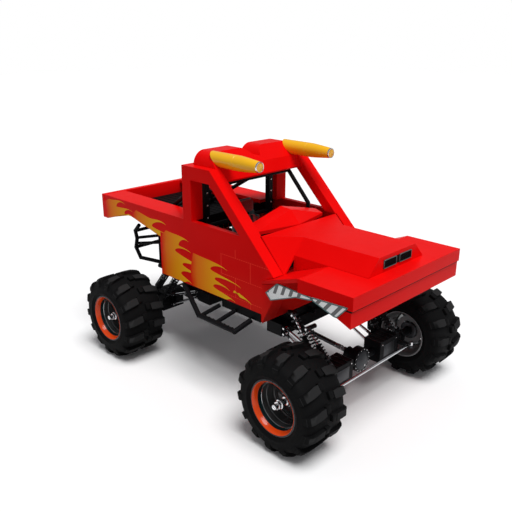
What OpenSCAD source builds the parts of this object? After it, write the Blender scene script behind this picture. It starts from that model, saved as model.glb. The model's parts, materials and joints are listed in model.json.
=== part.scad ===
// Monster truck: tube chassis with two steered beam axles, hollow pickup body and big agricultural tyres.
// Millimetres. +X forward, +Y to the truck's left, +Z up.
// The origin is on the ground under the middle of its length.

/* [Running gear] */
// Distance between the axles
wheelbase = 3852; // [3700:10:4000]
// X of the front axle
front_axle_x = 2130; // [2100:5:2200]
// Radius of a tyre over its lugs
tyre_r = 700; // [650:5:720]
// Width of a tyre
tyre_w = 792; // [700:2:800]
// Half track, from the centre plane to the middle of a tyre
half_track = 1500; // [1480:5:1540]
// Radius at which the tyre's bead sits
rim_r = 374; // [350:1:380]
// Half track of the kingpins
kingpin_y = 960; // [940:5:980]
// Reach of the steering arms
arm_reach = 300; // [280:5:320]

/* [Body] */
// Overall length of the body
body_len = 5788; // [5700:4:5860]
// Overall width of the bed and the cab
body_w = 2136; // [2100:4:2200]
// Overall width of the nose
nose_w = 2578; // [2400:4:2600]
// Height of the bed rails and the window sills
sill_z = 2528; // [2500:2:2560]
// Height of the lower edge of the sides
skirt_z = 1453; // [1400:1:1500]
// Underside of the roof
roof_low_z = 3173; // [3100:1:3200]
// Top of the roof
roof_top_z = 3380; // [3350:1:3420]
// Thickness of the side walls
wall = 90; // [60:5:120]
// Width of the flat rails along the bed
rail_w = 430; // [380:5:480]

/* [Chassis tubes] */
// Radius of the main frame tubes
frame_r = 40; // [30:1:50]
// Radius of the roll cage tubes
cage_r = 34; // [25:1:40]
// Half width of the frame rails
frame_y = 430; // [400:5:470]
// Height of the lower frame rails
frame_low_z = 1180; // [1160:5:1220]
// Height of the upper frame rails in the bed
frame_high_z = 1900; // [1850:5:1950]

/* [Hidden] */
$fn = 48;

paint = [0.82, 0.02, 0.02];
tube_black = [0.05, 0.05, 0.05];
rubber = [0.09, 0.09, 0.09];
lip_orange = [1, 0.3, 0.08];
bright = [0.75, 0.76, 0.78];
lamp_yellow = [1, 0.76, 0.05];

rear_axle_x = front_axle_x - wheelbase;
rear_x = -body_len / 2;
nose_x = body_len / 2;
body_y = body_w / 2;
nose_y = nose_w / 2;
rail_y = body_y - rail_w;

// Side view of the body, X and Z
tail_low_z = 2098;
tail_front_x = -2746;
arch_top = [-2077, 2301];
arch_front_x = -1184;
cab_rear_x = -554;
bulkhead_x = 1164;
bulkhead_t = 60;
bulkhead_low_z = 1310;
floor_z = 1500;
pillar_front_sum = 3464; // X + Z along the front of the windshield pillars, which lean at 45 degrees
pillar_rear_sum = 3241;
pillar_y = 850;
pillar_foot_z = 2074;
b_pillar_x = -353;
b_pillar_y = 840;
header_low = [161, 3197];
tailgate_t = 105;
bed_floor_z = 2285;
bed_floor_t = 35;

// Roof fairings, with a lamp pod on the sloping front of each
hump_in_y = 260;
hump_out_y = 720;
hump_r = 210;
hump_rear_x = -430;
pod_y = 790;
pod_z = 3497;
pod_r = 113;
pod_x = 470;
pod_front_x = 850;
pod_lens_r = 78;

// Hood and nose
hood_z = 2525;
hood_half = 445;
hood_base_y = 650;
hood_base_z = 2302;
hood_narrow_x = 1384;
hood_wide_x = 934;
hood_face_x = 2654;
cowl_rear_x = 523;
cowl_ridge_z = 2741;
fender_rear_z = 1978;
fender_front_x = 2016;
fender_t = 55;
nose_low_z = 2116;
lip_gap = 12;
lip_front_x = nose_x - 23;
lip_low_z = 1877;

// Tow eyes
tow_eye_r = 18.5;
tow_eye_t = 30;
tow_eye_x = 1235;
tow_eye_z = 1200;
rear_eye_x = -2425;

// Frame
frame_rear_x = -2130;
frame_cab_x = -600;
bed_post_x = -1290;

// Axle ends
box_in_y = 340;
box_out_y = 800;
box_half_x = 150;
box_low_z = 545;
box_high_z = 880;
ear_t = 50;
ear_r = 60;
knuckle_r = 62;
kingpin_r = 26;
fit_gap = 1.5;
arm_z = 640;
arm_t = 40;
rod_z = 712;
ball_r = 15;

// Wheel, measured outward from the middle of the tyre
spindle_r = 70;
spindle_end = -75;
hub_r = 150;

// Suspension at the front, as [x, |y|, z]; the rear is its mirror image about the middle of the wheelbase
mid_x = front_axle_x - wheelbase / 2;
shock_table = [ // [top, bottom]
    [[1484, 750, 1450], [1940, 750, 850]],
    [[1800, 800, 1350], [2185, 765, 925]]
];
link_table = [ // [frame end, axle end]
    [[1204, 600, 1095], [1944, 600, 815]],
    [[1204, 600, 1000], [1944, 600, 640]]
];
shock_r = 38;
rod_r = 17;
spring_r = 66;
wire_r = 8;
link_r = 22;
link_eye_r = 32;
eye_r = 38;
eye_half = 28;
lug_t = 12;

// ---- helpers ----

module both_sides() { children(); mirror([0, 1, 0]) children(); }

module both_ends() {
    children();
    translate([2 * mid_x, 0, 0]) mirror([1, 0, 0]) children();
}

module four_corners() { both_ends() both_sides() children(); }

module box(low, high) { translate(low) cube(high - low); }

// A round bar from p to q
module bar(p, q, r) {
    v = q - p;
    translate(p) rotate([0, acos(v.z / norm(v)), atan2(v.y, v.x)]) cylinder(h = norm(v), r = r);
}

// A bent tube through the points, with a ball a little fatter than the tube in each bend
module tube_run(points, r) {
    for (i = [0 : len(points) - 2]) bar(points[i], points[i + 1], r);
    for (i = [1 : 1 : len(points) - 2]) translate(points[i]) sphere(r = r + 1.5);
}

// A side-view outline [x, z] given thickness in Y, from y0 to y1
module side_plate(outline, y0, y1) {
    translate([0, y1, 0]) rotate([90, 0, 0]) linear_extrude(y1 - y0) polygon(outline);
}

// A convex panel through the listed corners, each thickened downward by t
module slab(corners, t) {
    hull() for (p = corners) translate(p - [0.5, 0.5, t]) cube([1, 1, t]);
}

// ---- chassis ----

// A lug in the XZ plane with a bore for a shackle pin; reach runs from the bore back to the frame
module tow_eye(x, z, reach) {
    translate([x, 0, z]) rotate([90, 0, 0]) difference() {
        union() {
            cylinder(h = tow_eye_t, r = 45, center = true);
            translate([min(0, reach), -45, -tow_eye_t / 2]) cube([abs(reach), 90, tow_eye_t]);
        }
        cylinder(h = tow_eye_t + 2, r = tow_eye_r, center = true);
    }
}

module main_frame() {
    front = 1140;
    color(tube_black) {
        both_sides() bar([frame_rear_x, frame_y, frame_low_z], [front, frame_y, frame_low_z], frame_r);
    }
}

// The tubes and end boxes between the two rails, with the lugs for the links and the front tow eye
module cross_members() {
    lug_in = link_eye_r - 1;
    color(tube_black) {
        for (x = [frame_rear_x + 60, -430, 420, 900]) {
            bar([x, -frame_y, frame_low_z], [x, frame_y, frame_low_z], frame_r - 4);
        }
        both_ends() {
            box([870, -655, 955], [1170, 655, 1150]);
            box([930, -470, 1130], [1130, 470, 1270]);
        }
        four_corners() for (link = link_table) for (y = [-1, 1]) {
            bar(link[0] + [0, y * lug_in, 0], link[0] + [0, y * (lug_in + lug_t), 0], link_eye_r + 8);
            box(
                link[0] + [-40, y < 0 ? -lug_in - lug_t : lug_in, -link_eye_r],
                link[0] + [0, y < 0 ? -lug_in : lug_in + lug_t, link_eye_r]
            );
        }
        tow_eye(tow_eye_x, tow_eye_z, -110);
    }
}

// The trussed upper frame behind the cab, which stands on the lower rails and carries the bed
module bed_frame() {
    posts = [frame_rear_x + 60, bed_post_x, frame_cab_x];
    brace_r = frame_r - 10;
    inset = 20;
    foot_z = frame_low_z + frame_r - 2;
    head_z = frame_high_z - inset;
    color(tube_black) {
        both_sides() {
            bar([frame_rear_x, frame_y, frame_high_z], [frame_cab_x, frame_y, frame_high_z], frame_r);
            for (x = posts) bar([x, frame_y, foot_z], [x, frame_y, frame_high_z], frame_r - 6);
            bar([frame_rear_x + 90, frame_y, foot_z + inset], [bed_post_x - 30, frame_y, head_z], brace_r);
            bar([bed_post_x + 30, frame_y, head_z], [frame_cab_x - 30, frame_y, foot_z + inset], brace_r);
            for (x = [frame_rear_x + 60, bed_post_x]) {
                bar([x, frame_y, frame_high_z], [x, frame_y, bed_floor_z - bed_floor_t - 1], frame_r - 16);
            }
        }
        for (x = [frame_rear_x + 60, frame_cab_x]) {
            bar([x, -frame_y, frame_high_z], [x, frame_y, frame_high_z], frame_r - 4);
        }
    }
}

// The arms that the shocks hang from, two at each corner of the frame
module shock_towers() {
    arm_r = 34;
    pin_r = 30;
    color(tube_black) four_corners() {
        tube_run([[1140, 400, 1240], [1340, 670, 1420], [1484, 670, 1450]], arm_r);
        bar([1484, 670, 1450], shock_table[0][0] - [0, eye_half, 0], pin_r);
        tube_run([[1140, 470, 1110], [1560, 620, 1180], [1800, 640, 1350]], arm_r);
        bar([1800, 640, 1350], shock_table[1][0] - [0, eye_half, 0], pin_r);
    }
}

module rear_bumper() {
    x = -2290;
    y = 760;
    color(tube_black) {
        both_sides() {
            tube_run([[-1290, 490, 1390], [-1750, 640, 1390], [x + 50, y, 1390], [x - 80, y, 1560],
                [x - 30, y, 1740], [x - 70, y, 1880], [x + 60, y, 2010]], 34);
            bar([x - 60, y, 1640], [-1500, 500, 1800], 27);
            bar([x - 40, y, 1750], [-1700, 480, 1890], 27);
        }
        bar([x - 80, -y, 1560], [x - 80, y, 1560], 30);
        bar([x - 68, -y, 1875], [x - 68, y, 1875], 30);
        tow_eye(rear_eye_x, 1560, 60);
    }
}

module roll_cage() {
    post_x = -420;
    post_y = 720;
    foot = [-1690, 520, bed_floor_z + 1];
    top = roof_low_z - 45;
    color(tube_black) {
        both_sides() {
            box([post_x - 45, post_y - 45, floor_z + 1], [post_x + 45, post_y + 45, roof_low_z - 5]);
            tube_run([[post_x, post_y, top], foot + [0, 0, 55], foot], cage_r);
            translate(foot) cylinder(h = 12, r = 75);
            tube_run([[post_x, post_y, top], [20, post_y, top], [440, post_y + 30, 2640],
                [440, post_y + 30, floor_z + 1]], cage_r);
            bar([post_x, post_y, top - 20], [foot.x + 20, 20 - foot.y, foot.z + 85], cage_r - 8);
        }
        for (z = [top, 2360]) bar([post_x, -post_y, z], [post_x, post_y, z], cage_r);
        bar([20, -post_y, top], [20, post_y, top], cage_r);
        bar([foot.x, -foot.y, foot.z + 55], foot + [0, 0, 55], cage_r);
    }
}

module side_steps() {
    color(tube_black) both_sides() {
        tube_run([[-630, 1040, 1400], [30, 1300, 1150], [838, 1300, 1150], [938, 1054, 1290]], 40);
        bar([80, 1280, 1160], [255, 1053, 1315], 32);
        bar([430, 1290, 1160], [590, 1053, 1325], 32);
    }
}

module floor_pan() {
    color(tube_black) {
        box([270, -1030, 1290], [1100, 1030, 1441]);
        box([cab_rear_x, -970, 1440], [1100, 970, floor_z]);
    }
}

module engine() {
    color([0.4, 0.4, 0.42]) {
        box([-1240, -300, 1280], [-640, 300, 2060]);
        box([-1180, -190, 2059], [-700, 190, 2235]);
    }
}

module gearbox() {
    color([0.35, 0.35, 0.37]) box([-385, -190, 870], [120, 190, 1135]);
}

module driveshafts() {
    color([0.3, 0.3, 0.32]) {
        bar([125, 0, 900], [1890, 0, 760], 42);
        bar([-392, 0, 900], [-1482, 0, 760], 42);
    }
}

module axle(x) {
    diff_r = 185;
    toward = x > 0 ? -1 : 1;
    color(tube_black) translate([x, 0, 0]) {
        bar([0, -box_in_y, tyre_r], [0, box_in_y, tyre_r], 62);
        rotate([0, 90, 0]) translate([-tyre_r, 0, 0]) cylinder(h = 130, r = diff_r, center = true);
        bar([toward * 60, 0, tyre_r], [toward * 215, 0, tyre_r + 48], 90);
        both_sides() {
            box([-box_half_x, box_in_y, box_low_z], [box_half_x, box_out_y, box_high_z]);
            for (z = [box_high_z - ear_t, box_low_z]) {
                difference() {
                    union() {
                        box([-ear_r, box_out_y - 10, z], [ear_r, kingpin_y, z + ear_t]);
                        translate([0, kingpin_y, z]) cylinder(h = ear_t, r = ear_r);
                    }
                    translate([0, kingpin_y, z - 1]) cylinder(h = ear_t + 2, r = kingpin_r + fit_gap);
                }
            }
            // [y, low z, high z]
            for (lug = [[556, 600, 860], [632, 600, 860], [698, 790, 885], [790, 790, 885]]) {
                translate([toward * (box_half_x + 38), lug.x + lug_t / 2, (lug.y + lug.z) / 2]) {
                    cube([78, lug_t, lug.z - lug.y], center = true);
                }
            }
        }
    }
}

module front_axle() { axle(front_axle_x); }

module rear_axle() { axle(rear_axle_x); }

module suspension_links() {
    color(bright) four_corners() for (link = link_table) {
        bar(link[0], link[1], link_r);
        for (p = link) bar(p - [0, 30, 0], p + [0, 30, 0], link_eye_r);
    }
}

module shocks() {
    color(bright) four_corners() for (s = shock_table) {
        v = s[1] - s[0];
        bar(s[0], s[0] + v * 0.45, rod_r);
        bar(s[0] + v * 0.42, s[1], shock_r);
        for (p = s) bar(p - [0, eye_half, 0], p + [0, eye_half, 0], eye_r);
        bar(s[0] + v * 0.1, s[0] + v * 0.12, spring_r + 2);
        bar(s[0] + v * 0.86, s[0] + v * 0.88, spring_r + 2);
    }
}

module springs() {
    color(tube_black) four_corners() for (s = shock_table) {
        v = s[1] - s[0];
        difference() {
            bar(s[0] + v * 0.125, s[0] + v * 0.855, spring_r);
            bar(s[0] + v * 0.11, s[0] + v * 0.87, spring_r - 2 * wire_r);
        }
    }
}

// ---- body ----

module bed_sides() {
    front = cab_rear_x - 1;
    rear = rear_x + tailgate_t;
    arch = [
        [rear, sill_z], [rear, tail_low_z], [tail_front_x, tail_low_z], arch_top,
        [arch_front_x, tail_low_z], [arch_front_x, skirt_z], [front, skirt_z], [front, sill_z]
    ];
    color(paint) both_sides() {
        side_plate(arch, body_y - wall, body_y);
        box([rear, rail_y, sill_z - 60], [front, body_y - wall + 1, sill_z]);
    }
}

module bed_floor() {
    side = body_y - wall - 2;
    front = cab_rear_x - 40;
    color(tube_black) {
        box([rear_x + tailgate_t + 1, -side, bed_floor_z - bed_floor_t], [front, side, bed_floor_z]);
        box([front - bed_floor_t, -side, bed_floor_z - 1], [front, side, sill_z - 62]);
    }
}

module tailgate() {
    color(paint) box([rear_x, -body_y, tail_low_z], [rear_x + tailgate_t, body_y, sill_z]);
}

module cab_sides() {
    foot_x = pillar_front_sum - pillar_foot_z;
    outline = [
        [cab_rear_x, skirt_z], [bulkhead_x, skirt_z], [bulkhead_x, fender_rear_z], [foot_x, pillar_foot_z],
        [pillar_front_sum - sill_z, sill_z], [cab_rear_x, sill_z]
    ];
    strip = [
        [bulkhead_x + 10, fender_rear_z + 4], [foot_x, pillar_foot_z],
        [pillar_front_sum - sill_z, sill_z], [pillar_rear_sum - sill_z, sill_z],
        [pillar_rear_sum - sill_z, sill_z - 90], [hood_wide_x, sill_z - 90]
    ];
    color(paint) both_sides() difference() {
        union() {
            side_plate(outline, body_y - wall, body_y);
            side_plate(strip, pillar_y + 25, body_y - wall + 1);
        }
        box([bulkhead_x - bulkhead_t, 0, skirt_z - 10], [bulkhead_x + 1, body_y - 45, fender_rear_z]);
    }
}

module roof() {
    front_x = pillar_front_sum - roof_top_z;
    rear_edge = [[cab_rear_x, roof_low_z], [cab_rear_x, roof_top_z], [front_x, roof_top_z]];
    middle = concat(rear_edge, [header_low, [header_low.x - 12, roof_low_z]]);
    color(paint) {
        both_sides() {
            side_plate(concat(rear_edge, [[pillar_front_sum - roof_low_z, roof_low_z]]), pillar_y, body_y);
        }
        side_plate(middle, -pillar_y - 1, pillar_y + 1);
    }
}

module rear_pillars() {
    color(paint) both_sides() {
        box([cab_rear_x, b_pillar_y, sill_z], [b_pillar_x, body_y, roof_low_z]);
    }
}

module windshield_pillars() {
    outline = [
        [pillar_rear_sum - sill_z, sill_z], [pillar_front_sum - sill_z, sill_z],
        [pillar_front_sum - roof_low_z, roof_low_z], [pillar_rear_sum - roof_low_z, roof_low_z]
    ];
    color(paint) both_sides() side_plate(outline, pillar_y, body_y);
}

module cowl() {
    side = 845;
    color(paint) both_sides() slab([
        [cowl_rear_x, 0, cowl_ridge_z], [cowl_rear_x, side, cowl_ridge_z - 0.238 * side],
        [727, 0, cowl_ridge_z - 18], [920, 0, sill_z], [749, 750, sill_z]
    ], 50);
}

module hood() {
    t = 45;
    crown = [hood_wide_x, 850, sill_z];
    waist = [hood_narrow_x, hood_half, hood_z];
    foot = [hood_narrow_x + 16, 868, 2064];
    color(paint) {
        slab([crown, waist, [crown.x, -crown.y, crown.z], [waist.x, -waist.y, waist.z]], t);
        both_sides() slab([crown, waist, foot, [hood_narrow_x + 5, hood_base_y, hood_base_z]], t);
        difference() {
            hood_prism(0, hood_narrow_x, hood_face_x, hood_z);
            hood_prism(t, hood_narrow_x - 1, hood_face_x - t, hood_z - t);
        }
    }
}

// The front part of the hood, drawn in by t on each side, in two spans: over the fenders, then over the nose
module hood_prism(t, rear, front, top) {
    sections = [ // [x, half width of the top, lower edge]
        [rear, hood_half, hood_base_z - 234], [fender_front_x, hood_half - 7, hood_base_z + 1],
        [front, hood_half - 15, hood_base_z + 1]
    ];
    for (i = [0, 1]) hull() both_sides() for (s = [sections[i], sections[i + 1]]) {
        translate([s.x - 0.5, s.y - t - 1, top - 1]) cube(1);
        translate([s.x - 0.5, hood_base_y - t - 1, hood_base_z + 1 - 2 * t]) cube(1);
        translate([s.x - 0.5, hood_base_y - t - 1, s.z - 2 * t]) cube(1);
    }
}

module fenders() {
    color(paint) both_sides() {
        slab([
            [bulkhead_x + 1, hood_base_y + 2, fender_rear_z], [bulkhead_x + 1, body_y, fender_rear_z],
            [fender_front_x, hood_base_y + 2, hood_base_z], [fender_front_x, nose_y, hood_base_z]
        ], fender_t);
    }
}

module nose() {
    color(paint) {
        box([fender_front_x + 1, -nose_y, nose_low_z], [nose_x, nose_y, hood_base_z - 2]);
    }
}

module front_lip() {
    outline = [
        [lip_front_x, lip_low_z], [lip_front_x, nose_low_z - lip_gap], [2100, nose_low_z - lip_gap],
        [2250, 2090], [2614, 1980]
    ];
    color(paint) {
        side_plate(outline, -nose_y + 2, nose_y - 2);
        box([2300, -400, nose_low_z - lip_gap - 1], [2700, 400, nose_low_z]);
    }
}

module front_bulkhead() {
    wedge = [
        [bulkhead_x, bulkhead_low_z], [1365, 1708], [1440, 1900], [1440, 2000],
        [bulkhead_x, fender_rear_z - 62]
    ];
    side = body_y - 46;
    color(paint) {
        box([bulkhead_x - bulkhead_t + 1, -side, bulkhead_low_z], [bulkhead_x, side, fender_rear_z - 2]);
        both_sides() side_plate(wedge, 800, body_y);
    }
}

module side_trims() {
    color(bright) both_sides() {
        hull() {
            box([1260, 1075, 1760], [1262, 1110, 1900]);
            box([2014, 1255, 1930], [2016, 1295, 2070]);
        }
    }
}

// Side view of the fairings, whose front leans back in the plane of the windshield
module fairing_side(gap) {
    top = roof_top_z + hump_r + 50;
    slope = pillar_front_sum + gap;
    outline = [[-900, roof_top_z], [-900, top], [slope - top, top], [slope - roof_top_z, roof_top_z]];
    side_plate(outline, 0, body_y);
}

module roof_fairings() {
    color(paint) both_sides() intersection() {
        fairing_side(0);
        translate([hump_rear_x, 0, roof_top_z]) rotate([0, 90, 0]) union() {
            for (y = [hump_in_y, hump_out_y]) translate([0, y, 0]) cylinder(h = 600, r = hump_r);
            translate([-hump_r, hump_in_y, 0]) cube([hump_r, hump_out_y - hump_in_y, 600]);
            translate([-70, 0, 0]) cube([70, hump_in_y, 600]);
        }
    }
}

module roof_lamps() {
    color(lamp_yellow) both_sides() difference() {
        translate([0, pod_y, pod_z]) rotate([0, 90, 0]) rotate_extrude() polygon([
            [0, -200], [pod_r, -200], [pod_r, pod_x], [pod_r - 10, pod_x + 120], [pod_lens_r, pod_front_x],
            [0, pod_front_x]
        ]);
        fairing_side(2);
    }
}

module intake_grille() {
    color(tube_black) box([hood_face_x + 1, -330, 2350], [hood_face_x + 16, 330, 2470]);
}

module dash() {
    color(tube_black) box([cowl_rear_x + 10, -780, 2200], [cowl_rear_x + 130, 780, 2450]);
}

module driver_seat() {
    color(tube_black) {
        box([-260, -260, 1700], [260, 260, 1850]);
        box([-330, -260, 1700], [-200, 260, 2700]);
    }
}

module steering_wheel() {
    color(tube_black) translate([330, 0, 2220]) rotate([0, -65, 0]) {
        rotate_extrude() translate([165, 0]) circle(r = 15);
        for (a = [90, 210, 330]) rotate([0, 0, a]) translate([0, -15, -8]) cube([165, 30, 16]);
        cylinder(h = 30, r = 45, center = true);
        translate([0, 0, -240]) cylinder(h = 235, r = 20);
    }
}

// ---- moving parts, drawn for the left side ----

// forward is 1 for an arm ahead of the axle and -1 for one behind it
module knuckle(x, side, forward) {
    color([0.25, 0.25, 0.27]) translate([x, 0, 0]) scale([1, side, 1]) {
        translate([0, kingpin_y, box_low_z + ear_t + 6]) {
            cylinder(h = box_high_z - box_low_z - 2 * ear_t - 12, r = knuckle_r);
        }
        translate([0, kingpin_y, box_low_z + 2]) cylinder(h = box_high_z - box_low_z - 4, r = kingpin_r);
        bar([0, kingpin_y + 20, tyre_r], [0, half_track + spindle_end, tyre_r], spindle_r - fit_gap);
        bar([0, kingpin_y + 80, tyre_r], [0, kingpin_y + 105, tyre_r], 120);
        box([forward > 0 ? 0 : -arm_reach, kingpin_y - 32, arm_z],
            [forward > 0 ? arm_reach : 0, kingpin_y + 32, arm_z + arm_t]);
        translate([forward * arm_reach, kingpin_y, arm_z]) {
            cylinder(h = arm_t, r = 36);
            cylinder(h = 102, r = ball_r);
        }
    }
}

module knuckle_fr() { knuckle(front_axle_x, -1, 1); }
module knuckle_fl() { knuckle(front_axle_x, 1, 1); }
module knuckle_rr() { knuckle(rear_axle_x, -1, -1); }
module knuckle_rl() { knuckle(rear_axle_x, 1, -1); }

module tie_rod(x) {
    color(bright) translate([x, 0, rod_z]) {
        bar([0, -kingpin_y + 30, 0], [0, kingpin_y - 30, 0], 21);
        both_sides() translate([0, kingpin_y, 0]) difference() {
            cylinder(h = 48, r = 33, center = true);
            cylinder(h = 50, r = ball_r + 1, center = true);
        }
    }
}

module tie_rod_front() { tie_rod(front_axle_x + arm_reach); }
module tie_rod_rear() { tie_rod(rear_axle_x - arm_reach); }

// Turns a [radius, outward] profile about the wheel's axle
module wheel_turn(x, side) {
    translate([x, side * half_track, tyre_r]) scale([1, side, 1]) rotate([-90, 0, 0]) {
        rotate_extrude($fn = 96) children();
    }
}

module tyre(x, side) {
    half = tyre_w / 2;
    shoulder = [[470, half - 4], [560, half], [640, half - 14], [680, half - 46], [tyre_r, half - 96]];
    wall_side = concat([[rim_r + 1, half - 49], [rim_r + 26, half - 49]], shoulder);
    outline = concat(wall_side, [for (i = [len(wall_side) - 1 : -1 : 0]) [wall_side[i].x, -wall_side[i].y]]);
    color(rubber) wheel_turn(x, side) polygon(outline);
}

module rim(x, side) {
    lip = 364;
    inner_lip = -349;
    barrel = [
        [rim_r, lip - 15], [rim_r + 22, lip - 15], [rim_r + 22, lip], [rim_r - 6, lip], [300, 230], [300, 15],
        [hub_r - 2, 15], [hub_r - 2, -25], [300, -25], [300, -200], [352, -240], [352, inner_lip],
        [rim_r, inner_lip], [rim_r, -255], [322, -215], [322, 225], [rim_r, 262]
    ];
    color(lip_orange) wheel_turn(x, side) polygon(barrel);
    color(bright) wheel_turn(x, side) {
        polygon([
            [0, spindle_end + 12], [spindle_r, spindle_end + 12], [spindle_r, -150], [hub_r - 20, -150],
            [hub_r, -130], [hub_r, 95], [115, 125], [60, 130], [60, 190], [0, 190]
        ]);
    }
}

module tyre_fr() { tyre(front_axle_x, -1); }
module tyre_fl() { tyre(front_axle_x, 1); }
module tyre_rr() { tyre(rear_axle_x, -1); }
module tyre_rl() { tyre(rear_axle_x, 1); }
module rim_fr() { rim(front_axle_x, -1); }
module rim_fl() { rim(front_axle_x, 1); }
module rim_rr() { rim(rear_axle_x, -1); }
module rim_rl() { rim(rear_axle_x, 1); }

main_frame();
cross_members();
bed_frame();
shock_towers();
roll_cage();
side_steps();
rear_bumper();
floor_pan();
engine();
gearbox();
driveshafts();
front_axle();
rear_axle();
suspension_links();
shocks();
springs();
bed_floor();
bed_sides();
tailgate();
cab_sides();
roof();
rear_pillars();
windshield_pillars();
cowl();
hood();
fenders();
nose();
front_lip();
front_bulkhead();
side_trims();
roof_fairings();
roof_lamps();
intake_grille();
dash();
driver_seat();
steering_wheel();
knuckle_fr();
knuckle_fl();
knuckle_rr();
knuckle_rl();
tie_rod_front();
tie_rod_rear();
tyre_fr();
tyre_fl();
tyre_rr();
tyre_rl();
rim_fr();
rim_fl();
rim_rr();
rim_rl();
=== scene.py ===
import json
import math

import bpy
from mathutils import Matrix, Vector


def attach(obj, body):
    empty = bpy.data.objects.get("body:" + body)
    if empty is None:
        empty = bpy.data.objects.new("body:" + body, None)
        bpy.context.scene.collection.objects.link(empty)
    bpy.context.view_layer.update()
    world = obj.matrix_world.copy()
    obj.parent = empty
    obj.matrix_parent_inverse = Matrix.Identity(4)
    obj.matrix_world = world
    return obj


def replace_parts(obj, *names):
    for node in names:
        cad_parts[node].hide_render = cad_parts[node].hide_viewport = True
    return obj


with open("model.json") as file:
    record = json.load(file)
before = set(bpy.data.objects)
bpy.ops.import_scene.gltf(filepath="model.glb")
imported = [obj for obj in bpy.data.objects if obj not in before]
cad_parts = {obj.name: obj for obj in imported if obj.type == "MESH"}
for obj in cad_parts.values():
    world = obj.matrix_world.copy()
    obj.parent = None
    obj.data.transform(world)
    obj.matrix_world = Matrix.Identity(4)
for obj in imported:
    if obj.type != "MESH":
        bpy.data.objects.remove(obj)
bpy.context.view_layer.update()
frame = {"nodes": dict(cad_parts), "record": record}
cad = frame["nodes"]
joints = {joint["name"]: Vector(joint["pos_m"]) for joint in frame["record"]["behaviour"]["joints"]}
corners = ("fr", "fl", "rr", "rl")
axleX = {"f": joints["roll_fr"].x, "r": joints["roll_rr"].x}
middleX = (axleX["f"] + axleX["r"]) / 2
wheelHeight = joints["roll_fr"].z
print("frame loaded:", len(cad), "nodes")


def deselect():
    if bpy.context.mode != "OBJECT":
        bpy.ops.object.mode_set(mode="OBJECT")
    bpy.ops.object.select_all(action="DESELECT")


def only(piece):
    deselect()
    piece.select_set(True)
    bpy.context.view_layer.objects.active = piece
    return piece


def settle(piece):
    only(piece)
    bpy.ops.object.transform_apply(location=True, rotation=True, scale=True)
    return piece


def applyModifier(piece, kind, **values):
    only(piece)
    modifier = piece.modifiers.new(kind.lower(), kind)
    for key, value in values.items():
        setattr(modifier, key, value)
    bpy.ops.object.modifier_apply(modifier=modifier.name)
    return piece


def sealed(piece, merge=0.0):
    # closes seams within the merge distance, then turns every face outwards
    only(piece)
    bpy.ops.object.mode_set(mode="EDIT")
    bpy.ops.mesh.select_all(action="SELECT")
    if merge:
        bpy.ops.mesh.remove_doubles(threshold=merge)
    bpy.ops.mesh.normals_make_consistent(inside=False)
    bpy.ops.object.mode_set(mode="OBJECT")
    return piece


def rounded(piece, width, segments=2, angle=35):
    return applyModifier(piece, "BEVEL", width=width, segments=segments, limit_method="ANGLE",
                         angle_limit=math.radians(angle))


def block(low, high, bevel=0.0, segments=2):
    low, high = Vector(low), Vector(high)
    deselect()
    bpy.ops.mesh.primitive_cube_add(size=1, location=(low + high) / 2)
    piece = bpy.context.object
    piece.scale = high - low
    settle(piece)
    return rounded(piece, bevel, segments) if bevel else piece


def rod(start, end, radius, sides=24, bevel=0.0):
    start, end = Vector(start), Vector(end)
    run = end - start
    deselect()
    bpy.ops.mesh.primitive_cylinder_add(
        vertices=sides, radius=radius, depth=run.length, location=(start + end) / 2,
        rotation=run.to_track_quat("Z", "Y").to_euler())
    piece = settle(bpy.context.object)
    return rounded(piece, bevel) if bevel else piece


def rodAt(point, direction, back, ahead, radius, sides=24, bevel=0.0):
    # a rod on the line through a point, from back behind it to ahead in front of it
    return rod(point - direction * back, point + direction * ahead, radius, sides, bevel)


def chain(points):
    # a chain of edges, drawn one vertex after another
    deselect()
    bpy.ops.mesh.primitive_plane_add(size=0.01)
    line = bpy.context.object
    bpy.ops.object.mode_set(mode="EDIT")
    bpy.ops.mesh.select_mode(type="VERT")
    bpy.ops.mesh.select_all(action="SELECT")
    bpy.ops.mesh.merge(type="CENTER")
    bpy.ops.transform.translate(value=points[0])
    for before, after in zip(points, points[1:]):
        step = Vector(after) - Vector(before)
        bpy.ops.mesh.extrude_vertices_move(TRANSFORM_OT_translate={"value": step})
    return line


def turned(profile, steps=64, closed=True):
    # profile is [radius, outward] pairs, spun round the Y axis
    points = [Vector((radius, outward, 0)) for radius, outward in profile]
    piece = chain(points + points[:1] if closed else points)
    bpy.ops.mesh.select_all(action="SELECT")
    bpy.ops.mesh.spin(steps=steps, angle=math.tau, center=(0, 0, 0), axis=(0, 1, 0))
    return sealed(piece, 0.0003)


def copied(piece, move):
    twin = piece.copy()
    twin.data = piece.data.copy()
    bpy.context.scene.collection.objects.link(twin)
    twin.data.transform(move)
    if move.to_3x3().determinant() < 0:
        twin.data.flip_normals()
    return twin


def joined(pieces):
    deselect()
    for piece in pieces:
        piece.select_set(True)
    bpy.context.view_layer.objects.active = pieces[0]
    if len(pieces) > 1:
        bpy.ops.object.join()
    return bpy.context.object


def ringOf(piece, count, axis="Y", start=0.0):
    # count copies of the piece round an axis through the origin; the piece itself is the first
    copies = [copied(piece, Matrix.Rotation(start + math.tau * i / count, 4, axis)) for i in range(count)]
    bpy.data.objects.remove(piece)
    return joined(copies)


def coloured(piece, finish):
    piece.data.materials.clear()
    piece.data.materials.append(finish)
    return piece


def dressed(parts):
    # joins pairs of piece and finish into one piece
    return joined([coloured(piece, finish) for piece, finish in parts])


def fitted(piece, name, body, finish=None, smooth=35):
    if finish:
        coloured(piece, finish)
    only(piece)
    piece.name = name
    piece.data.name = name
    bpy.ops.object.shade_smooth_by_angle(angle=math.radians(smooth))
    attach(piece, body)
    return piece


mirrorY = Matrix.Scale(-1, 4, (0, 1, 0))
mirrorEnds = Matrix.Translation((2 * middleX, 0, 0)) @ Matrix.Scale(-1, 4, (1, 0, 0))


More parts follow.
